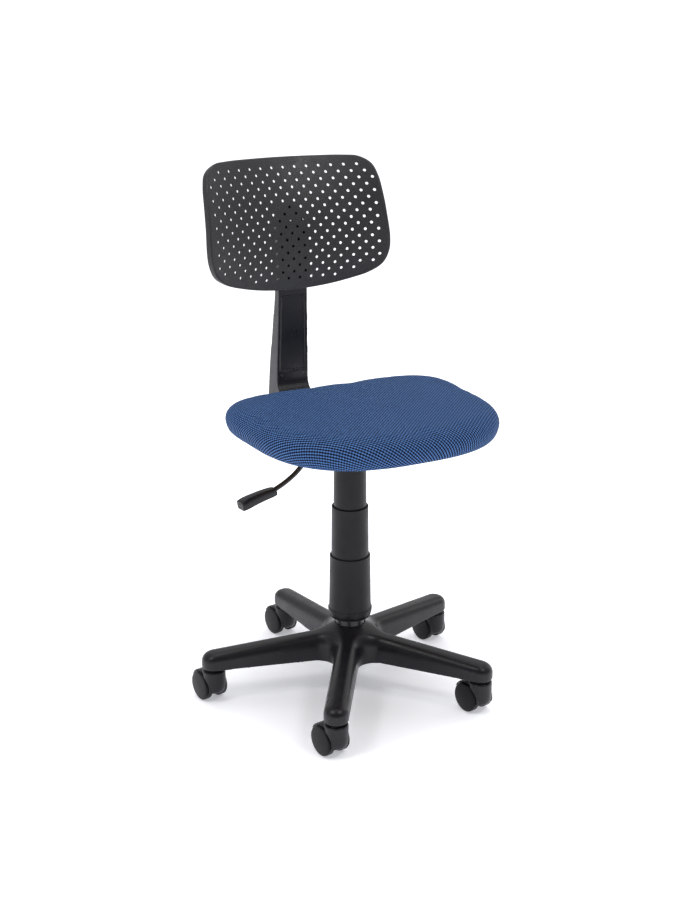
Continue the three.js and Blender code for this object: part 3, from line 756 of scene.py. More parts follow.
@dataclass
class StarBase:
    """Five moulded legs that flow into a hub, hollow underneath, with a tapered bore."""

    axis: Vector
    stems: list[Vector]
    leg_half_width: float = 20
    leg_bottom: float = 61
    end_top: float = 89.3
    slope: float = 0.105
    shoulder: float = 14
    crotch: float = 27
    wall: float = 4
    hub_radius: float = 50
    bore: float = 24.4
    socket: float = 5.9
    flare_radius: float = 60
    flare_width: float = 28
    flare_rise: float = 7
    voxel: float = 1.7

    @property
    def reach(self) -> float:
        """Return the distance from the column to a caster's stem, in millimetres."""
        return (self.stems[0] - self.axis).xy.length / MM

    def bearings(self) -> list[float]:
        """List the legs' directions in radians, counter-clockwise."""
        return sorted(math.atan2(stem.y - self.axis.y, stem.x - self.axis.x) for stem in self.stems)

    def leg_top(self, radius: float) -> float:
        """Return the height of a leg's top at a distance from the column."""
        blend = max(0.0, self.flare_radius - radius) / self.flare_width
        return self.end_top + (self.reach - radius) * self.slope + self.flare_rise * blend * blend

    def _plan(self) -> list[Point2]:
        """Draw the star from above: rounded leg ends and wide curves between the legs."""
        half = self.leg_half_width
        step = FULL_TURN / 10
        curve_centre = (half + self.crotch) / math.sin(step)
        root = (half + self.crotch) / math.tan(step)
        points: list[Point2] = []
        for bearing in self.bearings():
            cos, sin = math.cos(bearing), math.sin(bearing)
            degrees = math.degrees(bearing)
            points.append((cos * root + sin * half, sin * root - cos * half))
            end = (cos * self.reach, sin * self.reach)
            points += arc(end, half, degrees - 90, degrees + 90, 24)
            points.append((cos * root - sin * half, sin * root + cos * half))
            middle = bearing + step
            centre = (math.cos(middle) * curve_centre, math.sin(middle) * curve_centre)
            points += arc(centre, self.crotch, degrees - 90, degrees - 198, 16)[1:-1]
        return points

    def _star(self) -> bpy.types.Object:
        """Build the star with level tops and rounded shoulders, open channels included."""
        bottom = self.leg_bottom
        star = Bench.chain("star", [Vector((x * MM, y * MM, bottom * MM)) for x, y in self._plan()])
        rise = self.end_top - self.shoulder - bottom
        steps = 8
        with Bench.editing():
            bpy.ops.mesh.edge_face_add()
            bpy.ops.mesh.normals_make_consistent(inside=False)
            bpy.ops.mesh.extrude_region_move(TRANSFORM_OT_translate={"value": (0, 0, rise * MM)})
            for step in range(steps):
                low, high = (math.pi / 2 * (step + k) / steps for k in (0, 1))
                inwards = self.shoulder * (math.cos(low) - math.cos(high))
                upwards = self.shoulder * (math.sin(high) - math.sin(low))
                bpy.ops.mesh.inset(thickness=inwards * MM, depth=0)
                bpy.ops.transform.translate(value=(0, 0, upwards * MM))
            Bench.face_out()
        for bearing in self.bearings():
            channel = self._channel()
            Bench.carve(star, Bench.settle(channel, Matrix.Rotation(bearing, 4, "Z")))
        return star

    def _channel(self) -> bpy.types.Object:
        """Return the hollow under a leg that points along +X."""
        half = self.leg_half_width - self.wall
        start, end, top = 58, self.reach - 28, self.end_top - self.wall
        outline = [(start, -half), (end, -half), (end, half), (start, half)]
        middle = (40 + top) / 2
        points = [Vector((x * MM, y * MM, middle * MM)) for x, y in outline]
        channel = Bench.slab("channel", points, Vector((0, 0, (top - 40) * MM)))
        Bench.bevel_edges(channel, lambda a, b: min(a.z, b.z) > (top - 1) * MM, 9, 4)
        return channel

    def _slope(self, point: Vector) -> Vector:
        """Raise a point of the level star to the legs' slope."""
        radius = point.xy.length / MM
        share = (point.z / MM - self.leg_bottom) / (self.end_top - self.leg_bottom)
        lift = (self.leg_top(radius) - self.end_top) * min(1.0, max(0.0, share))
        return Vector((point.x, point.y, point.z + lift * MM))

    def build(self, wardrobe: Wardrobe) -> None:
        """Cast the base and hand it over.

        Args:
            wardrobe: Dresses the piece.
        """
        star = Bench.cast("star", [self._star()], 2.0, 0)
        Bench.reshape(star, self._slope)
        bore = self.bore
        hub = Bench.turned(
            "hub",
            [
                (bore, 60.2), (self.hub_radius - 4, 60.2), (self.hub_radius, 64),
                (self.hub_radius, 97), (self.hub_radius - 3, 104), (42, 109.6), (35, 113.6),
                (30, 116.2), (27.6, 116.8), (bore, 116.8),
            ],
            96,
        )
        piece = Bench.cast("star_base_moulding", [hub, star], self.voxel, 9)
        taper = Bench.turned("taper", [(0, 50), (bore, 50), (bore + 1.3, 108), (25.9, 125), (0, 125)], 96)
        Bench.carve(piece, taper)
        Bench.settle(piece, Matrix.Translation(self.axis))
        for stem in self.stems:
            socket = Bench.turned("socket", [(0, 40), (self.socket, 40), (self.socket, 82), (0, 82)], 32)
            Bench.settle(socket, Matrix.Translation((stem.x, stem.y, 0)))
            Bench.carve(piece, socket)
        wardrobe.deliver(piece, Body.BASE.value, Slot.NYLON, "star_base")


# ------------------------------------------------------------------------- gas column


@dataclass
class GasColumn:
    """The column tube and the three telescopic sleeves around the gas lift."""

    axis: Vector
    segments: int = 128

    def _stand(self, name: str, profile: list[Point2]) -> bpy.types.Object:
        """Turn a profile and stand it on the column's axis.

        Args:
            name: The piece's name.
            profile: Points of radius and height in millimetres.

        Returns:
            The placed piece.
        """
        return Bench.settle(Bench.turned(name, profile, self.segments), Matrix.Translation(self.axis))

    def _sleeve(self, bottom: float, top: float, low: float, high: float, wall: float) -> list[Point2]:
        """Draw a tapered sleeve whose rim is rounded outside and chamfered inside.

        Args:
            bottom: Its bottom's height.
            top: Its rim's height.
            low: Its outer radius at the bottom.
            high: Its outer radius at the rim.
            wall: Its wall's thickness.

        Returns:
            The profile.
        """
        return [
            (low - wall, bottom), (low, bottom), (high, top - 1.2),
            *arc((high - 0.9, top - 0.9), 0.9, 10, 90, 4),
            (high - wall + 0.35, top),
            (high - wall, top - 1.0),
        ]

    def build(self, wardrobe: Wardrobe) -> None:
        """Turn the tube and the sleeves and hand them over.

        Args:
            wardrobe: Dresses the pieces.
        """
        tube = [
            (5.8, 66.4), (23.9, 66.4), (24.9, 112), (24.95, 284.4), (24.4, 285), (22.1, 285),
            (22.1, 70), (5.8, 70),
        ]
        wardrobe.deliver(
            self._stand("column_tube", tube), Body.BASE.value, Slot.BLACK_STEEL, "gas_column_tube"
        )
        lower = [
            (25.6, 134.5), (32.6, 134.5), (34.0, 134.9), (34.8, 135.7), (34.7, 136.5),
            (33.9, 136.9), (34.3, 137.5), (35.6, 139.2), (36.6, 142.6), (37.2, 147.2),
            (37.2, 149.2), (36.8, 150.2), (35.7, 150.9), (35.5, 152.0), (35.2, 163), (34.0, 243.8),
            *arc((33.1, 244.1), 0.9, 10, 90, 4),
            (32.7, 245), (32.3, 244), (32.2, 138), (25.6, 138),
        ]
        wardrobe.deliver(self._stand("sleeve_lower", lower), Body.BASE.value, Slot.SLEEVE, "lower_sleeve")
        middle = self._sleeve(224, 332, 31.5, 30.5, 1.8)
        wardrobe.deliver(
            self._stand("sleeve_middle", middle), Body.MIDDLE_SLEEVE.value, Slot.SLEEVE, "middle_sleeve"
        )
        upper = self._sleeve(312, 438, 27.6, 26.5, 1.2)
        wardrobe.deliver(self._stand("sleeve_upper", upper), Body.SEAT.value, Slot.SLEEVE, "upper_sleeve")


# -------------------------------------------------------------------------- casters


@dataclass
class Caster:
    """A hooded twin-wheel caster, modelled once and copied to each leg."""

    wheel_radius: float = 25
    trail: float = 16
    neck_radius: float = 19.3
    hood_radius: float = 28.4
    hood_half_width: float = 17.2
    wheel_space: float = 26.2
    web: float = 7.8
    wheel_inner: float = 8.2
    wheel_outer: float = 22.4
    voxel: float = 0.8
    hood: bpy.types.Object | None = field(default=None, init=False)
    wheel: bpy.types.Object | None = field(default=None, init=False)

    def _on_axle(self, piece: bpy.types.Object) -> bpy.types.Object:
        """Lay a turned piece along X at the axle, and return it."""
        place = Matrix.Translation((0, self.trail * MM, self.wheel_radius * MM))
        return Bench.settle(piece, place @ Matrix.Rotation(math.pi / 2, 4, "Y"))

    def _disc(self, radius: float, start: float, end: float) -> bpy.types.Object:
        """Return a plain disc on the axle between two places along it."""
        return self._on_axle(
            Bench.turned("disc", [(0, start), (radius, start), (radius, end), (0, end)], 72)
        )

    def make_patterns(self) -> None:
        """Model the hood and the right wheel at the origin."""
        neck = Bench.turned(
            "neck",
            [
                (0, 16), (11.5, 16), (15.0, 18), (17.4, 21.5), (18.8, 27), (self.neck_radius, 34),
                (self.neck_radius, 55.0), (18.7, 56.4), (17.6, 57), (0, 57),
            ],
            72,
        )
        sector = [(self.trail, self.wheel_radius)]
        sector += arc((self.trail, self.wheel_radius), self.hood_radius, 26, 194, 30)
        fender = Bench.slab(
            "fender",
            [Vector((0, y * MM, z * MM)) for y, z in sector],
            Vector((2 * self.hood_half_width * MM, 0, 0)),
        )
        boss = self._disc(12, -self.web, self.web)
        hood = Bench.cast("hood_pattern", [neck, fender, boss], self.voxel, 5)
        far = self.neck_radius + 6
        Bench.carve(
            hood,
            self._disc(self.wheel_space, self.web, far),
            self._disc(self.wheel_space, -far, -self.web),
            Bench.turned("stem_hole", [(0, 34.4), (5.9, 34.4), (5.9, 60), (0, 60)], 32),
            self._disc(3.3, -10, 10),
        )
        self.hood = hood
        outer = self.wheel_outer
        self.wheel = self._on_axle(
            Bench.turned(
                "wheel_pattern",
                [
                    (3.2, self.wheel_inner), (21.5, self.wheel_inner),
                    (22.4, self.wheel_inner + 1.6), (23.8, self.wheel_inner + 0.6),
                    (24.7, self.wheel_inner + 1.2), (25.0, self.wheel_inner + 2.4), (25.0, 18.2),
                    (24.7, 19.4), (24.0, 20.2), (22.8, 20.7), (20.4, 21.1), (17.0, 21.5),
                    (12.5, 21.9), (7.0, 22.2), (2.5, outer), (0, outer), (0, 18.7), (3.2, 18.7),
                ],
                96,
            )
        )

    def fit(self, number: int, chair: ChairFrame, wardrobe: Wardrobe) -> None:
        """Copy the patterns under one leg.

        Args:
            number: The caster's number.
            chair: Says where the caster stands and which way it points.
            wardrobe: Dresses the pieces.
        """
        stem = chair.joint(f"caster_{number}_swivel").position
        along = chair.joint(f"caster_{number}_right_spin").axis
        heading = math.atan2(along.y, along.x)
        place = Matrix.Translation((stem.x, stem.y, 0)) @ Matrix.Rotation(heading, 4, "Z")
        name = f"caster_{number}"
        hood = Bench.settle(Bench.copy(self.hood, f"{name}_fork_hood"), place)
        wardrobe.deliver(hood, name, Slot.NYLON, f"{name}_hood")
        right = Bench.settle(Bench.copy(self.wheel, f"{name}_right_roller"), place)
        wardrobe.deliver(right, f"{name}_right", Slot.WHEEL, f"{name}_wheel_right")
        half_turn = (
            Matrix.Translation((0, self.trail * MM, 0))
            @ Matrix.Rotation(math.pi, 4, "Z")
            @ Matrix.Translation((0, -self.trail * MM, 0))
        )
        left = Bench.settle(Bench.copy(self.wheel, f"{name}_left_roller"), place @ half_turn)
        wardrobe.deliver(left, f"{name}_left", Slot.WHEEL, f"{name}_wheel_left")

    def discard_patterns(self) -> None:
        """Remove the patterns once every caster is fitted."""
        for pattern in (self.hood, self.wheel):
            bpy.data.objects.remove(pattern)


# ------------------------------------------------------------------------- seat pad


@dataclass
class SeatPad:
    """The upholstered pad: foam blown up a little under a stretched mesh cover."""

    axis: Vector
    centre_y: float = -55
    centre_z: float = 497
    half_width: float = 201.5
    rear_length: float = 147
    front_length: float = 187
    rear_squareness: float = 4.6
    front_squareness: float = 2.62
    widening: float = 0.038
    half_thickness: float = 22.8
    edge: float = 24
    crown: float = 2.5
    board_inset: float = 23.7
    lip: float = 34
    swell: float = 3.2
    frames: int = 20

    def rim(self, bearing: float, inset: float = 0) -> Point2:
        """Return a point of the pad's outline, seen from its middle.

        Args:
            bearing: The direction in radians.
            inset: How far inside the outline, in millimetres.

        Returns:
            The point in millimetres.
        """
        cos, sin = math.cos(bearing), math.sin(bearing)
        power = self.rear_squareness if sin > 0 else self.front_squareness
        length = self.rear_length if sin > 0 else self.front_length
        reach = (abs(cos / self.half_width) ** power + abs(sin / length) ** power) ** (-1 / power)
        y = sin * reach
        x = cos * reach * (1 + self.widening * y / 200)
        full = math.hypot(x, y)
        return (x * (1 - inset / full), y * (1 - inset / full))

    def _pillow(self) -> bpy.types.Object:
        """Shape a sphere into the pad and return it."""
        Bench.clear()
        bpy.ops.mesh.primitive_uv_sphere_add(segments=128, ring_count=60, radius=1)
        pad = bpy.context.object
        Bench.christen(pad, "seat_cushion")
        flat_share = 0.55

        def onto_pad(point: Vector) -> Vector:
            """Place a point of the unit sphere on the pad."""
            polar = math.atan2(math.hypot(point.x, point.y), point.z) / math.pi
            rim = self.rim(math.atan2(point.y, point.x))
            reach = math.hypot(*rim)
            side = abs(polar - 0.5) * 2
            if side > 1 - flat_share:
                share = (1 - side) / flat_share
                at = share * (reach - self.edge)
                dome = self.crown * (1 - share * share) if polar < 0.5 else 0
                height = self.half_thickness + dome
            else:
                angle = side / (1 - flat_share) * math.pi / 2
                at = reach - self.edge + self.edge * math.cos(angle)
                height = self.half_thickness * math.sin(angle)
            z = height if polar < 0.5 else -height
            return Vector((rim[0] / reach * at * MM, rim[1] / reach * at * MM, z * MM))

        Bench.reshape(pad, onto_pad)
        return pad

    def _inflate(self, pad: bpy.types.Object) -> None:
        """Blow the pad up as cloth, and cap how far each point moves.

        Args:
            pad: The pad, remeshed evenly.
        """
        before = [vertex.co.copy() for vertex in pad.data.vertices]
        Bench.activate(pad)
        cloth = pad.modifiers.new("Cloth", "CLOTH")
        settings = {
            "quality": 5,
            "mass": 0.3,
            "tension_stiffness": 20,
            "compression_stiffness": 20,
            "bending_stiffness": 2,
            "use_pressure": True,
            "uniform_pressure_force": 4,
        }
        for name, value in settings.items():
            setattr(cloth.settings, name, value)
        cloth.settings.effector_weights.gravity = 0
        cloth.point_cache.frame_start = 1
        cloth.point_cache.frame_end = self.frames
        for number in range(1, self.frames + 1):
            bpy.context.scene.frame_set(number)
        bpy.ops.object.modifier_apply(modifier=cloth.name)
        bpy.context.scene.frame_set(1)
        for vertex, start in zip(pad.data.vertices, before):
            step = vertex.co - start
            free = min(1.0, max(0.0, (start.z / MM + self.half_thickness) / 14))
            cap = self.swell * MM * free
            if step.length > cap:
                step = step.normalized() * cap
            vertex.co = start + step
        pad.data.update()

    def _match_frame(self, pad: bpy.types.Object) -> None:
        """Stretch the pad to the size that the frame gives its cover.

        Args:
            pad: The pad, centred on the origin.
        """
        low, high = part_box("seat_cover")
        middle = self.axis + Vector((0, self.centre_y * MM, self.centre_z * MM))
        ends = [[f(v.co[k] for v in pad.data.vertices) for k in range(3)] for f in (min, max)]

        def stretch(point: Vector) -> Vector:
            """Scale a point towards the frame's box, side by side."""
            placed = []
            for k in range(3):
                side = 1 if point[k] > 0 else 0
                wanted = (low, high)[side][k] - middle[k]
                placed.append(point[k] * wanted / ends[side][k])
            return Vector(placed)

        Bench.reshape(pad, stretch)

    def _map_weave(self, pad: bpy.types.Object) -> None:
        """Lay the weave over the pad from its middle outwards, in metres.

        Args:
            pad: The finished pad, centred on the origin.
        """
        places = []
        for vertex in pad.data.vertices:
            x, y, z = vertex.co / MM
            radial = math.hypot(x, y)
            bearing = math.atan2(y, x)
            inner = math.hypot(*self.rim(bearing)) - self.edge
            if radial > inner:
                angle = math.atan2(z / self.half_thickness, (radial - inner) / self.edge)
                run = inner + self.edge * (math.pi / 2 - angle)
            elif z > 0:
                run = radial
            else:
                run = inner + self.edge * math.pi + (inner - radial)
            places.append((math.cos(bearing) * run * MM, math.sin(bearing) * run * MM))
        layer = pad.data.uv_layers.new(name="weave")
        for loop in pad.data.loops:
            layer.data[loop.index].uv = places[loop.vertex_index]

    def _plug(self, inset: float, bottom: float, top: float) -> bpy.types.Object:
        """Return an upright plug of the pad's outline.

        Args:
            inset: How far inside the outline.
            bottom: Its lowest height over the pad's middle.
            top: Its highest.

        Returns:
            The closed plug.
        """
        ring = [self.rim(FULL_TURN * i / 96, inset) for i in range(96)]
        middle = (bottom + top) / 2
        outline = [Vector((x * MM, y * MM, middle * MM)) for x, y in ring]
        return Bench.slab("plug", outline, Vector((0, 0, (top - bottom) * MM)))

    def build(self, wardrobe: Wardrobe) -> None:
        """Upholster the pad and hand it over.

        Args:
            wardrobe: Dresses the piece.
        """
        pad = self._pillow()
        Bench.modify(pad, "REMESH", mode="VOXEL", voxel_size=5 * MM)
        Bench.modify(pad, "SMOOTH", factor=0.5, iterations=4)
        self._inflate(pad)
        Bench.modify(pad, "SUBSURF", levels=1, render_levels=1)
        self._match_frame(pad)
        self._map_weave(pad)
        low = 476 - self.centre_z
        Bench.carve(
            pad,
            self._plug(self.lip, -40, low + 4),
            self._plug(self.board_inset, low - 0.3, low + 10.3),
        )
        place = Matrix.Translation(self.axis + Vector((0, self.centre_y * MM, self.centre_z * MM)))
        Bench.settle(pad, place)
        wardrobe.deliver(pad, Body.SEAT.value, Slot.MESH_FABRIC, "seat_cover", "seat_foam", degrees=60)


# ------------------------------------------------------------------------- backrest


@dataclass
class Backrest:
    """A dished and arched shell with staggered rows of small holes."""

    axis: Vector
    y: float = 211.2
    z: float = 768
    lean: float = math.radians(12.24)
    arch: float = 0.002542
    dish: float = 0.001525
    smile: float = 0.000241
    wall: float = 3
    hole_radius: float = 2.45
    column_pitch: float = 10.56
    row_pitch: float = 10.92
    first_row: float = 7.5
    cell: float = 9

    # Right half of the outline, from the middle of the top to that of the bottom.
    half_outline: tuple[Point2, ...] = (
        (0, 110.4), (60, 110), (108, 109), (132, 106.3), (150.2, 94), (157.5, 73), (160.6, 45),
        (163.2, 5), (165.2, -32), (163, -55), (153, -77), (132, -91.8), (99.5, -102.3), (55, -111),
        (0, -114.6),
    )

    def surface(self, x: float, v: float, depth: float) -> Vector:
        """Place a point of the shell.

        Args:
            x: Across, in millimetres.
            v: Up from the middle.
            depth: How far behind the front face, square to it.

        Returns:
            The place in metres.
        """
        rise = v - self.smile * x * x
        forward = self.dish * x * x
        cos, sin = math.cos(self.lean), math.sin(self.lean)
        y = self.y + rise * sin + self.arch * rise * rise / 2 - forward * cos
        z = self.z + rise * cos + forward * sin
        steep = sin + self.arch * rise
        droop, bend = -2 * self.smile * x, 2 * self.dish * x
        across = Vector((1, droop * steep - bend * cos, droop * cos + bend * sin))
        back = Vector((0, steep, cos)).cross(across).normalized()
        return self.axis + (Vector((x, y, z)) + back * depth) * MM

    def front_at(self, z: float) -> float:
        """Return the front face's Y in millimetres on the middle plane, at a height."""
        rise = (z - self.z) / math.cos(self.lean)
        return self.y + rise * math.sin(self.lean) + self.arch * rise * rise / 2

    def holes(self) -> list[Point2]:
        """List the holes' middles in the flat shell."""
        rows: dict[int, int] = {-1: 12, 0: 13, 15: 10, 16: 7}
        rows.update({row: 14 if row % 2 else 13 for row in range(1, 15)})
        return [
            (column * self.column_pitch, (self.first_row - row) * self.row_pitch)
            for row, last in sorted(rows.items())
            for column in range(-last, last + 1, 2)
        ]

    def outline(self, steps: int = 12) -> list[Point2]:
        """Draw a smooth closed curve through the outline's points.

        Args:
            steps: Stretches between two points.

        Returns:
            The curve's points, clockwise from the top.
        """
        right = list(self.half_outline)
        left = [(-x, v) for x, v in reversed(right[1:-1])]
        ring = [Vector(point) for point in right + left]
        count = len(ring)
        curve = []
        for i in range(count):
            before, start, end, after = (ring[(i + k) % count] for k in (-1, 0, 1, 2))
            spans = [math.sqrt((b - a).length) for a, b in ((before, start), (start, end), (end, after))]
            enter = (start - before) / spans[0] - (end - before) / (spans[0] + spans[1])
            leave = (end - start) / spans[1] - (after - start) / (spans[1] + spans[2])
            slope = (end - start) / spans[1]
            first, last = (enter + slope) * spans[1], (leave + (after - end) / spans[2]) * spans[1]
            for step in range(steps):
                t = step / steps
                point = (
                    start * (2 * t**3 - 3 * t**2 + 1)
                    + first * (t**3 - 2 * t**2 + t)
                    + end * (3 * t**2 - 2 * t**3)
                    + last * (t**3 - t**2)
                )
                curve.append((point.x, point.y))
        return curve

    def _offset(self, ring: list[Point2], inset: float) -> list[Point2]:
        """Move a closed ring inwards along its normals.

        Args:
            ring: The ring's points, clockwise.
            inset: How far, in millimetres.

        Returns:
            The moved points.
        """
        moved = []
        for i, (x, v) in enumerate(ring):
            (ax, av), (bx, bv) = ring[i - 1], ring[(i + 1) % len(ring)]
            length = math.hypot(bx - ax, bv - av)
            moved.append((x + (bv - av) / length * inset, v - (bx - ax) / length * inset))
        return moved

    def _flat_sheet(self, ring: list[Point2]) -> bpy.types.Object:
        """Fill a flat ring around all the holes.

        Args:
            ring: The sheet's outline in millimetres.

        Returns:
            The sheet in the plane of X and Y, cut into small faces.
        """
        Bench.clear()
        bpy.ops.curve.primitive_bezier_circle_add(radius=self.hole_radius, location=(0, 0, 0))
        drawing = bpy.context.object
        drawing.name = "shell_drawing"
        bpy.ops.object.mode_set(mode="EDIT")
        bpy.ops.curve.select_all(action="SELECT")
        bpy.ops.curve.delete(type="VERT")
        for x, v in self.holes():
            bpy.ops.curve.primitive_bezier_circle_add(radius=self.hole_radius, location=(x, v, 0))
        bpy.ops.object.mode_set(mode="OBJECT")
        border = drawing.data.splines.new("POLY")
        border.points.add(len(ring) - 1)
        for point, (x, v) in zip(border.points, ring):
            point.co = (x, v, 0, 1)
        border.use_cyclic_u = True
        drawing.data.dimensions = "2D"
        drawing.data.fill_mode = "BOTH"
        drawing.data.resolution_u = 4
        bpy.ops.object.convert(target="MESH")
        sheet = bpy.context.object
        cuts = [(Vector((1, 0, 0)), 166), (Vector((0, 1, 0)), 116)]
        with Bench.editing():
            bpy.ops.mesh.remove_doubles(threshold=0.01)
            for normal, reach in cuts:
                for step in range(-int(reach / self.cell), int(reach / self.cell) + 1):
                    bpy.ops.mesh.select_all(action="SELECT")
                    bpy.ops.mesh.bisect(plane_co=normal * (step * self.cell + 0.37), plane_no=normal)
            bpy.ops.mesh.select_all(action="SELECT")
            bpy.ops.mesh.dissolve_degenerate(threshold=0.02)
            bpy.ops.mesh.quads_convert_to_tris(quad_method="BEAUTY", ngon_method="BEAUTY")
            bpy.ops.mesh.beautify_fill(angle_limit=math.pi)
        return sheet

    def _roll_rim(self, sheet: bpy.types.Object, ring: list[Point2]) -> None:
        """Extrude the sheet's border outwards and back, ring by ring.

        Args:
            sheet: The flat sheet.
            ring: The border's points in millimetres.
        """
        holes = self.holes()
        steps = [(1.4, 0.25), (2.4, 0.9), (3.0, 2.1), (3.1, 4.2), (3.0, 7.4), (2.7, 10.2), (2.2, 11.2)]
        normals = []
        for i in range(len(ring)):
            (ax, av), (bx, bv) = ring[i - 1], ring[(i + 1) % len(ring)]
            length = math.hypot(bx - ax, bv - av)
            normals.append(Vector((-(bv - av) / length, (bx - ax) / length, 0)))

        def is_border(point: Vector) -> bool:
            """Tell whether a point lies off every hole's edge."""
            near = self.hole_radius + 0.2
            return all((point.x - x) ** 2 + (point.y - v) ** 2 > near * near for x, v in holes)

        def outward(point: Vector) -> Vector:
            """Blend the outward normals of the two nearest border points."""
            nearest = sorted(range(len(ring)), key=lambda i: (point.xy - Vector(ring[i])).length_squared)[:2]
            gaps = [(point.xy - Vector(ring[i])).length + 1e-6 for i in nearest]
            blended = normals[nearest[0]] * gaps[1] + normals[nearest[1]] * gaps[0]
            return blended.normalized()

        Bench.activate(sheet)
        bpy.ops.object.mode_set(mode="EDIT")
        bpy.ops.mesh.select_mode(type="EDGE")
        bpy.ops.mesh.select_all(action="DESELECT")
        bpy.ops.mesh.select_non_manifold(extend=False)
        bpy.ops.object.mode_set(mode="OBJECT")
        mesh = sheet.data
        for edge in mesh.edges:
            ends = [mesh.vertices[i].co for i in edge.vertices]
            edge.select = edge.select and all(is_border(end) for end in ends)
        start = (0.0, 0.0)
        bpy.ops.object.mode_set(mode="EDIT")
        for step in steps:
            bpy.ops.mesh.extrude_edges_move()
            bpy.ops.object.mode_set(mode="OBJECT")
            moving = [vertex for vertex in sheet.data.vertices if vertex.select]
            if step == steps[0]:
                directions = {vertex.index: outward(vertex.co) for vertex in moving}
                latest = list(directions.values())
            else:
                latest = [outward(vertex.co) for vertex in moving]
            for vertex, direction in zip(moving, latest):
                shift = direction * (step[0] - start[0])
                vertex.co += Vector((shift.x, shift.y, step[1] - start[1]))
            start = step
            bpy.ops.object.mode_set(mode="EDIT")
        bpy.ops.mesh.select_mode(type="VERT")
        Bench.face_out()
        bpy.ops.object.mode_set(mode="OBJECT")

    def build(self, wardrobe: Wardrobe) -> None:
        """Mould the shell and hand it over.

        Args:
            wardrobe: Dresses the piece.
        """
        ring = self._offset(self.outline(), 3.1)
        shell = self._flat_sheet(ring)
        Bench.christen(shell, "backrest_perforated_shell")
        self._roll_rim(shell, ring)
        facing = sum(face.normal.z * face.area for face in shell.data.polygons)
        offset = -1.0 if facing < 0 else 1.0
        Bench.modify(shell, "SOLIDIFY", thickness=self.wall, offset=offset)
        Bench.reshape(shell, lambda point: self.surface(point.x, point.y, point.z))
        Bench.activate(shell)
        with Bench.editing():
            Bench.face_out()
        wardrobe.deliver(shell, Body.SEAT.value, Slot.SHELL, "backrest_shell", degrees=35)
        Bench.modify(shell, "WEIGHTED_NORMAL", keep_sharp=True, weight=100)


# ------------------------------------------------------------------------- back bar


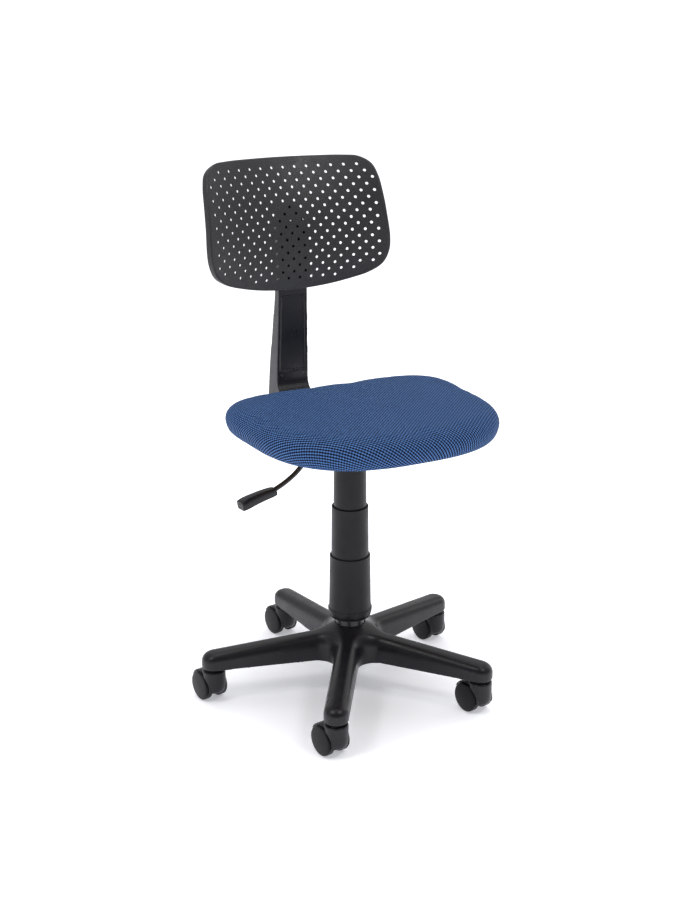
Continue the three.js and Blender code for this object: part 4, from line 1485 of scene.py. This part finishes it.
@dataclass
class BackBar:
    """The moulded bar that runs back from the seat and bends up behind the backrest."""

    axis: Vector
    backrest: Backrest
    bottom_half_width: float = 29.8
    top_half_width: float = 26.9
    flange: float = 5
    shell_gap: float = 4.8
    voxel: float = 1.25

    def half_width(self, z: float) -> float:
        """Return half the bar's width at a height."""
        share = min(1.0, max(0.0, (z - 504) / 136))
        plain = self.bottom_half_width + (self.top_half_width - self.bottom_half_width) * share
        tip = min(1.0, max(0.0, (z - 750) / 52))
        return plain * (1 - 0.42 * tip * tip)

    def _board(self, name: str, side: list[Point2], inset: float, layers: int) -> bpy.types.Object:
        """Extrude a side outline across the bar's width.

        Args:
            name: The piece's name.
            side: The outline of Y and Z points.
            inset: How far inside the bar's width its sides are.
            layers: Horizontal cuts that let its sides follow the taper.

        Returns:
            The tapered board.
        """
        outline = [Vector((0, y * MM, z * MM)) for y, z in side]
        piece = Bench.slab(name, outline, Vector((2 * MM, 0, 0)))
        heights = [point[1] for point in side]
        Bench.activate(piece)
        with Bench.editing():
            for layer in range(1, layers):
                z = min(heights) + (max(heights) - min(heights)) * layer / layers
                bpy.ops.mesh.select_all(action="SELECT")
                bpy.ops.mesh.bisect(plane_co=(0, 0, z * MM), plane_no=(0, 0, 1))

        def widen(point: Vector) -> Vector:
            """Spread a point across the bar's width at its height."""
            return Vector((point.x * (self.half_width(point.z / MM) - inset), point.y, point.z))

        Bench.reshape(piece, widen)
        return piece

    def _front(self) -> list[Point2]:
        """List the front face's points from the tip down to the bend."""
        behind = [(self.backrest.front_at(z) + self.shell_gap, z) for z in range(800, 650, -12)]
        return [*behind, (208.4, 640), (210.5, 587), (212.8, 533), (213.8, 504)]

    def build(self, wardrobe: Wardrobe) -> None:
        """Mould the bar and hand it over.

        Args:
            wardrobe: Dresses the piece.
        """
        side = [
            (24, 456),
            (60, 456),
            *arc((232, 464), 21.5, 270, 360, 8),
            (245.2, 526), (235.7, 582), (225.5, 649), (226.5, 690), (229, 740), (232, 788),
            (231.8, 796), (229.5, 800.5),
            *self._front(),
            *arc((187.8, 498.5), 26, 0, -90, 10),
            (58, 472.5), (58, 475.7), (24, 475.7),
        ]
        bar = self._board("bar", side, 0, 24)
        panel = [(200, 512), (200, 645), (211.3, 645), (213.2, 587), (215.5, 533), (216.4, 512)]
        channel = [
            (275, 480), (222.5, 480), (221.5, 533), (219, 587), (217, 640), (217.4, 654),
            (221, 700), (275, 700),
        ]
        trough = Bench.slab(
            "trough",
            [Vector((0, y * MM, z * MM)) for y, z in ((74, 430), (74, 465), (212, 465), (212, 430))],
            Vector((48 * MM, 0, 0)),
        )
        Bench.carve(
            bar,
            self._board("panel", panel, self.flange, 12),
            self._board("channel", channel, 4.5, 12),
            trough,
        )
        bar = Bench.cast("back_bar_moulding", [bar], self.voxel, 3)
        Bench.settle(bar, Matrix.Translation(self.axis))
        self._drill(bar)
        wardrobe.deliver(bar, Body.SEAT.value, Slot.NYLON, "back_bar")

    def _drill(self, bar: bpy.types.Object) -> None:
        """Cut the clearance holes of the bar's fasteners.

        Args:
            bar: The placed bar.
        """
        upright = [("back_bar_bolt_1", 3.3), ("back_bar_bolt_2", 3.3)]
        level = [
            ("backrest_screw_lower", 2.4),
            ("backrest_screw_upper", 2.4),
            ("back_bar_screw_left", 3.4),
            ("back_bar_screw_right", 3.4),
        ]
        for node, radius in upright + level:
            low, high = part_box(node)
            middle = (low + high) / 2
            along = "Z" if (node, radius) in upright else "Y"
            reach = 30 if along == "Z" or "backrest" in node else 3
            drill = Bench.turned("drill", [(0, -reach), (radius, -reach), (radius, reach), (0, reach)], 32)
            turn = Matrix.Identity(4) if along == "Z" else Matrix.Rotation(math.pi / 2, 4, "X")
            Bench.settle(drill, Matrix.Translation(middle) @ turn)
            Bench.carve(bar, drill)


# ----------------------------------------------------------------------------- lever


@dataclass
class HeightLever:
    """A bent rod with a flattened grip, in one upright plane through the column."""

    axis: Vector
    bearing: float = math.radians(188)
    radius: float = 4
    path: tuple[Point2, ...] = (
        (-2, 465), (22, 465), (46, 465), (58, 461.5), (69, 451), (80, 437.5), (92, 423.5),
        (106, 411), (123, 400.8), (137, 394.5), (152, 389),
    )
    grip_length: float = 66

    def _rod(self) -> bpy.types.Object:
        """Bend the rod and return it."""
        Bench.clear()
        curve = bpy.data.curves.new("lever_rod_curve", "CURVE")
        curve.dimensions = "3D"
        curve.bevel_depth = self.radius * MM
        curve.bevel_resolution = 6
        curve.resolution_u = 8
        curve.use_fill_caps = True
        spline = curve.splines.new("BEZIER")
        spline.bezier_points.add(len(self.path) - 1)
        for knot, (out, height) in zip(spline.bezier_points, self.path):
            knot.co = (out * MM, 0, height * MM)
            knot.handle_left_type = knot.handle_right_type = "AUTO"
        rod = bpy.data.objects.new("lever_bent_rod", curve)
        bpy.context.scene.collection.objects.link(rod)
        Bench.activate(rod)
        bpy.ops.object.convert(target="MESH")
        return bpy.context.object

    def _grip(self) -> bpy.types.Object:
        """Shape the grip from a cube and return it."""
        Bench.clear()
        bpy.ops.mesh.primitive_cube_add(size=1)
        grip = bpy.context.object
        Bench.christen(grip, "lever_paddle_grip")
        with Bench.editing():
            bpy.ops.mesh.subdivide(number_cuts=7)

        def paddle(point: Vector) -> Vector:
            """Place a point of the unit cube on the grip."""
            along = point.x + 0.5
            width = 17.4 + 6.6 * along - 1.6 * math.sin(along * math.pi)
            thick = 14.2 + 3.6 * along
            corner = 1 - 0.15 * abs(point.y * 2) ** 4 * abs(point.z * 2) ** 2
            blunt = 1 - 0.13 * abs(2 * along - 1) ** 10
            bow = 1.5 * math.sin(along * math.pi)
            return Vector(
                (
                    (along - 0.5) * self.grip_length * MM,
                    point.y * width * corner * blunt * MM,
                    (point.z * thick * corner * blunt + bow) * MM,
                )
            )

        Bench.reshape(grip, paddle)
        Bench.bevel_edges(grip, self._is_rim, 1.6, 3)
        Bench.modify(grip, "SUBSURF", levels=1, render_levels=1)
        mark = Bench.turned("mark", [(3.1, -1), (4.2, -1), (4.2, 1), (3.1, 1)], 40)
        tip = Matrix.Translation((self.grip_length / 2 * MM, 0, 0.3 * MM))
        Bench.settle(mark, tip @ Matrix.Rotation(math.pi / 2, 4, "Y"))
        Bench.carve(grip, mark)
        end, height = self.path[-1]
        droop = math.atan2(11, 62)
        middle = Matrix.Translation(((end + 27) * MM, 0, (height - 6.3) * MM))
        Bench.settle(grip, middle @ Matrix.Rotation(droop, 4, "Y"))
        return grip

    def _is_rim(self, a: Vector, b: Vector) -> bool:
        """Tell whether an edge lies on one of the grip's two end rims."""
        reach = self.grip_length / 2 * MM
        return min(abs(a.x), abs(b.x)) > reach * 1.01

    def build(self, wardrobe: Wardrobe) -> None:
        """Bend the rod, mould the grip and hand both over.

        Args:
            wardrobe: Dresses the pieces.
        """
        place = Matrix.Translation(self.axis) @ Matrix.Rotation(self.bearing, 4, "Z")
        rod = Bench.settle(self._rod(), place)
        wardrobe.deliver(rod, Body.LEVER.value, Slot.BLACK_STEEL, "lever_rod")
        grip = Bench.settle(self._grip(), place)
        wardrobe.deliver(grip, Body.LEVER.value, Slot.NYLON, "lever_grip")


# --------------------------------------------------------------------------- hardware


@dataclass
class Hardware:
    """The CAD nodes that stay as they are, each in a better finish."""

    finishes: dict[str, Slot] = field(
        default_factory=lambda: {
            "column_guide_bush": Slot.BUSH,
            "pressure_cylinder": Slot.CHROME,
            "piston_rod": Slot.CHROME,
            "retaining_clip": Slot.BEARING,
            "thrust_bearing": Slot.BEARING,
            "release_pin": Slot.BEARING,
            "seat_plate": Slot.BLACK_STEEL,
            "seat_board": Slot.PLYWOOD,
            "back_bar_screw_left": Slot.BLACK_STEEL,
            "back_bar_screw_right": Slot.BLACK_STEEL,
        }
    )

    def dress(self, wardrobe: Wardrobe) -> None:
        """Dress every CAD node that still shows.

        Args:
            wardrobe: Makes the finishes.
        """
        for name, node in frame["nodes"].items():
            if node.hide_render:
                continue
            slot = self.finishes.get(name, Slot.ZINC)
            wardrobe.dress(node, slot)
            log.info("%s: kept, in %s", name, slot.value)


# ----------------------------------------------------------------------------- studio


@dataclass
class Studio:
    """A white floor, soft lights and the camera."""

    axis: Vector
    azimuth: float = math.radians(27.82)
    pitch: float = math.radians(18.43)
    distance: float = 2263
    aim_height: float = 428
    lens: float = 55.4
    floor_size: float = 60
    front_glow: float = 0.22
    back_glow: float = 0.75

    def _floor(self) -> None:
        """Lay the floor. It glows, with a painted shadow: its glow is dimmer towards the chair's middle."""
        Bench.clear()
        bpy.ops.mesh.primitive_plane_add(size=self.floor_size, location=(0, 0, -0.0002))
        floor = bpy.context.object
        floor.name = "studio_floor"
        bpy.ops.object.transform_apply(location=True, rotation=True, scale=True)
        recipe = Recipe("studio_white_painted_shadow")
        clouds = recipe.noise(recipe.place(), 900)
        colour = recipe.blend(clouds, (0.91, 0.92, 0.96, 1), (0.94, 0.95, 0.98, 1))
        # Painted shadow: the floor's glow is weakest at the chair's middle and full from about half a metre
        # out.
        reach = recipe.node("ShaderNodeVectorMath", {"operation": "LENGTH"})
        recipe.feed(reach.inputs[0], recipe.place())
        material = recipe.finish(
            Base_Color=colour,
            Roughness=0.9,
            Specular_IOR_Level=0.1,
            Emission_Color=(0.95, 0.96, 1.0, 1),
            Emission_Strength=recipe.remap(reach.outputs["Value"], (0.08, 0.48), (0.2, 0.75), "SMOOTHSTEP"),
        )
        floor.data.materials.append(material)

    def _softbox(self, name: str, place: Vector, size: Point2, power: float, aim: Vector) -> None:
        """Hang a softbox.

        Args:
            name: The light's name.
            place: Where it hangs, in metres.
            size: Its width and height.
            power: Its watts.
            aim: What it points at.
        """
        light = bpy.data.lights.new(name, "AREA")
        light.shape = "RECTANGLE"
        light.size, light.size_y = size
        light.energy = power
        lamp = bpy.data.objects.new(name, light)
        bpy.context.scene.collection.objects.link(lamp)
        lamp.location = place
        lamp.rotation_euler = (aim - place).to_track_quat("-Z", "Y").to_euler()

    def _world(self) -> None:
        """Fill the room with soft white light, bright behind the chair and dim in front."""
        world = bpy.data.worlds.new("studio_room")
        bpy.context.scene.world = world
        world.use_nodes = True
        wires = Wiring(world.node_tree)
        room, surface = world.node_tree.nodes["Background"], world.node_tree.nodes["World Output"]
        white = (1, 1, 1, 1)
        facing = wires.node("ShaderNodeVectorMath", {"operation": "DOT_PRODUCT"})
        facing.inputs[1].default_value = (math.sin(self.azimuth), math.cos(self.azimuth), 0)
        wires.feed(facing.inputs[0], wires.node("ShaderNodeTexCoord").outputs["Generated"])
        glow = (self.front_glow, self.back_glow)
        strength = wires.remap(facing.outputs["Value"], (-0.75, 0.55), glow, "SMOOTHSTEP")
        wires.feed(room.inputs["Color"], white)
        wires.feed(room.inputs["Strength"], strength)
        backdrop = wires.node("ShaderNodeBackground", None, Color=white, Strength=1.05)
        seen = wires.node("ShaderNodeLightPath").outputs["Is Camera Ray"]
        pick = wires.node("ShaderNodeMixShader")
        for socket, value in zip(pick.inputs, (seen, room.outputs[0], backdrop.outputs[0])):
            wires.feed(socket, value)
        wires.feed(surface.inputs["Surface"], pick.outputs[0])

    def _camera(self) -> None:
        """Set up the camera on the column's axis."""
        camera = bpy.data.cameras.new("camera")
        camera.lens = self.lens
        camera.sensor_width = 36
        camera.clip_end = 100
        aim = self.axis + Vector((0, 0, self.aim_height * MM))
        out = Vector(
            (
                -math.sin(self.azimuth) * math.cos(self.pitch),
                -math.cos(self.azimuth) * math.cos(self.pitch),
                math.sin(self.pitch),
            )
        )
        eye = bpy.data.objects.new("camera", camera)
        bpy.context.scene.collection.objects.link(eye)
        eye.location = aim + out * self.distance * MM
        eye.rotation_euler = (-out).to_track_quat("-Z", "Y").to_euler()
        bpy.context.scene.camera = eye

    def build(self) -> None:
        """Set the whole studio up."""
        self._floor()
        self._world()
        middle = self.axis + Vector((0, 0, 0.35))
        self._softbox("overhead", Vector((0.2, 0.3, 3.2)), (2.2, 2.2), 24, middle)
        self._softbox("left_fill", Vector((-2.6, -0.1, 1.3)), (0.9, 2.4), 6, middle)
        self._softbox("right_fill", Vector((2.6, 0.2, 1.3)), (0.9, 2.4), 8, middle)
        for name, swing in (("left_key", -47), ("right_key", 47)):
            bearing = self.azimuth + math.radians(swing)
            out = Vector((-math.sin(bearing), -math.cos(bearing), 1.25)) * 1.8
            self._softbox(name, middle + out, (0.7, 0.7), 17, middle)
        self._camera()
        view = bpy.context.scene.view_settings
        view.view_transform = "Standard"
        view.look = "None"


# -------------------------------------------------------------------------------- chair


def main() -> None:
    """Build the chair around its frame, and the studio around the chair."""
    logging.basicConfig(level=logging.INFO, format="%(name)s: %(message)s")
    chair = ChairFrame()
    axis = chair.column_axis()
    stems = [chair.joint(f"caster_{number}_swivel").position for number in range(1, 6)]
    wardrobe = Wardrobe()
    Studio(axis).build()
    StarBase(axis, stems).build(wardrobe)
    GasColumn(axis).build(wardrobe)
    caster = Caster()
    caster.make_patterns()
    for number in range(1, 6):
        caster.fit(number, chair, wardrobe)
    caster.discard_patterns()
    SeatPad(axis).build(wardrobe)
    backrest = Backrest(axis)
    backrest.build(wardrobe)
    BackBar(axis, backrest).build(wardrobe)
    HeightLever(axis).build(wardrobe)
    Hardware().dress(wardrobe)
    Bench.clear()


if __name__ == "__main__":
    main()
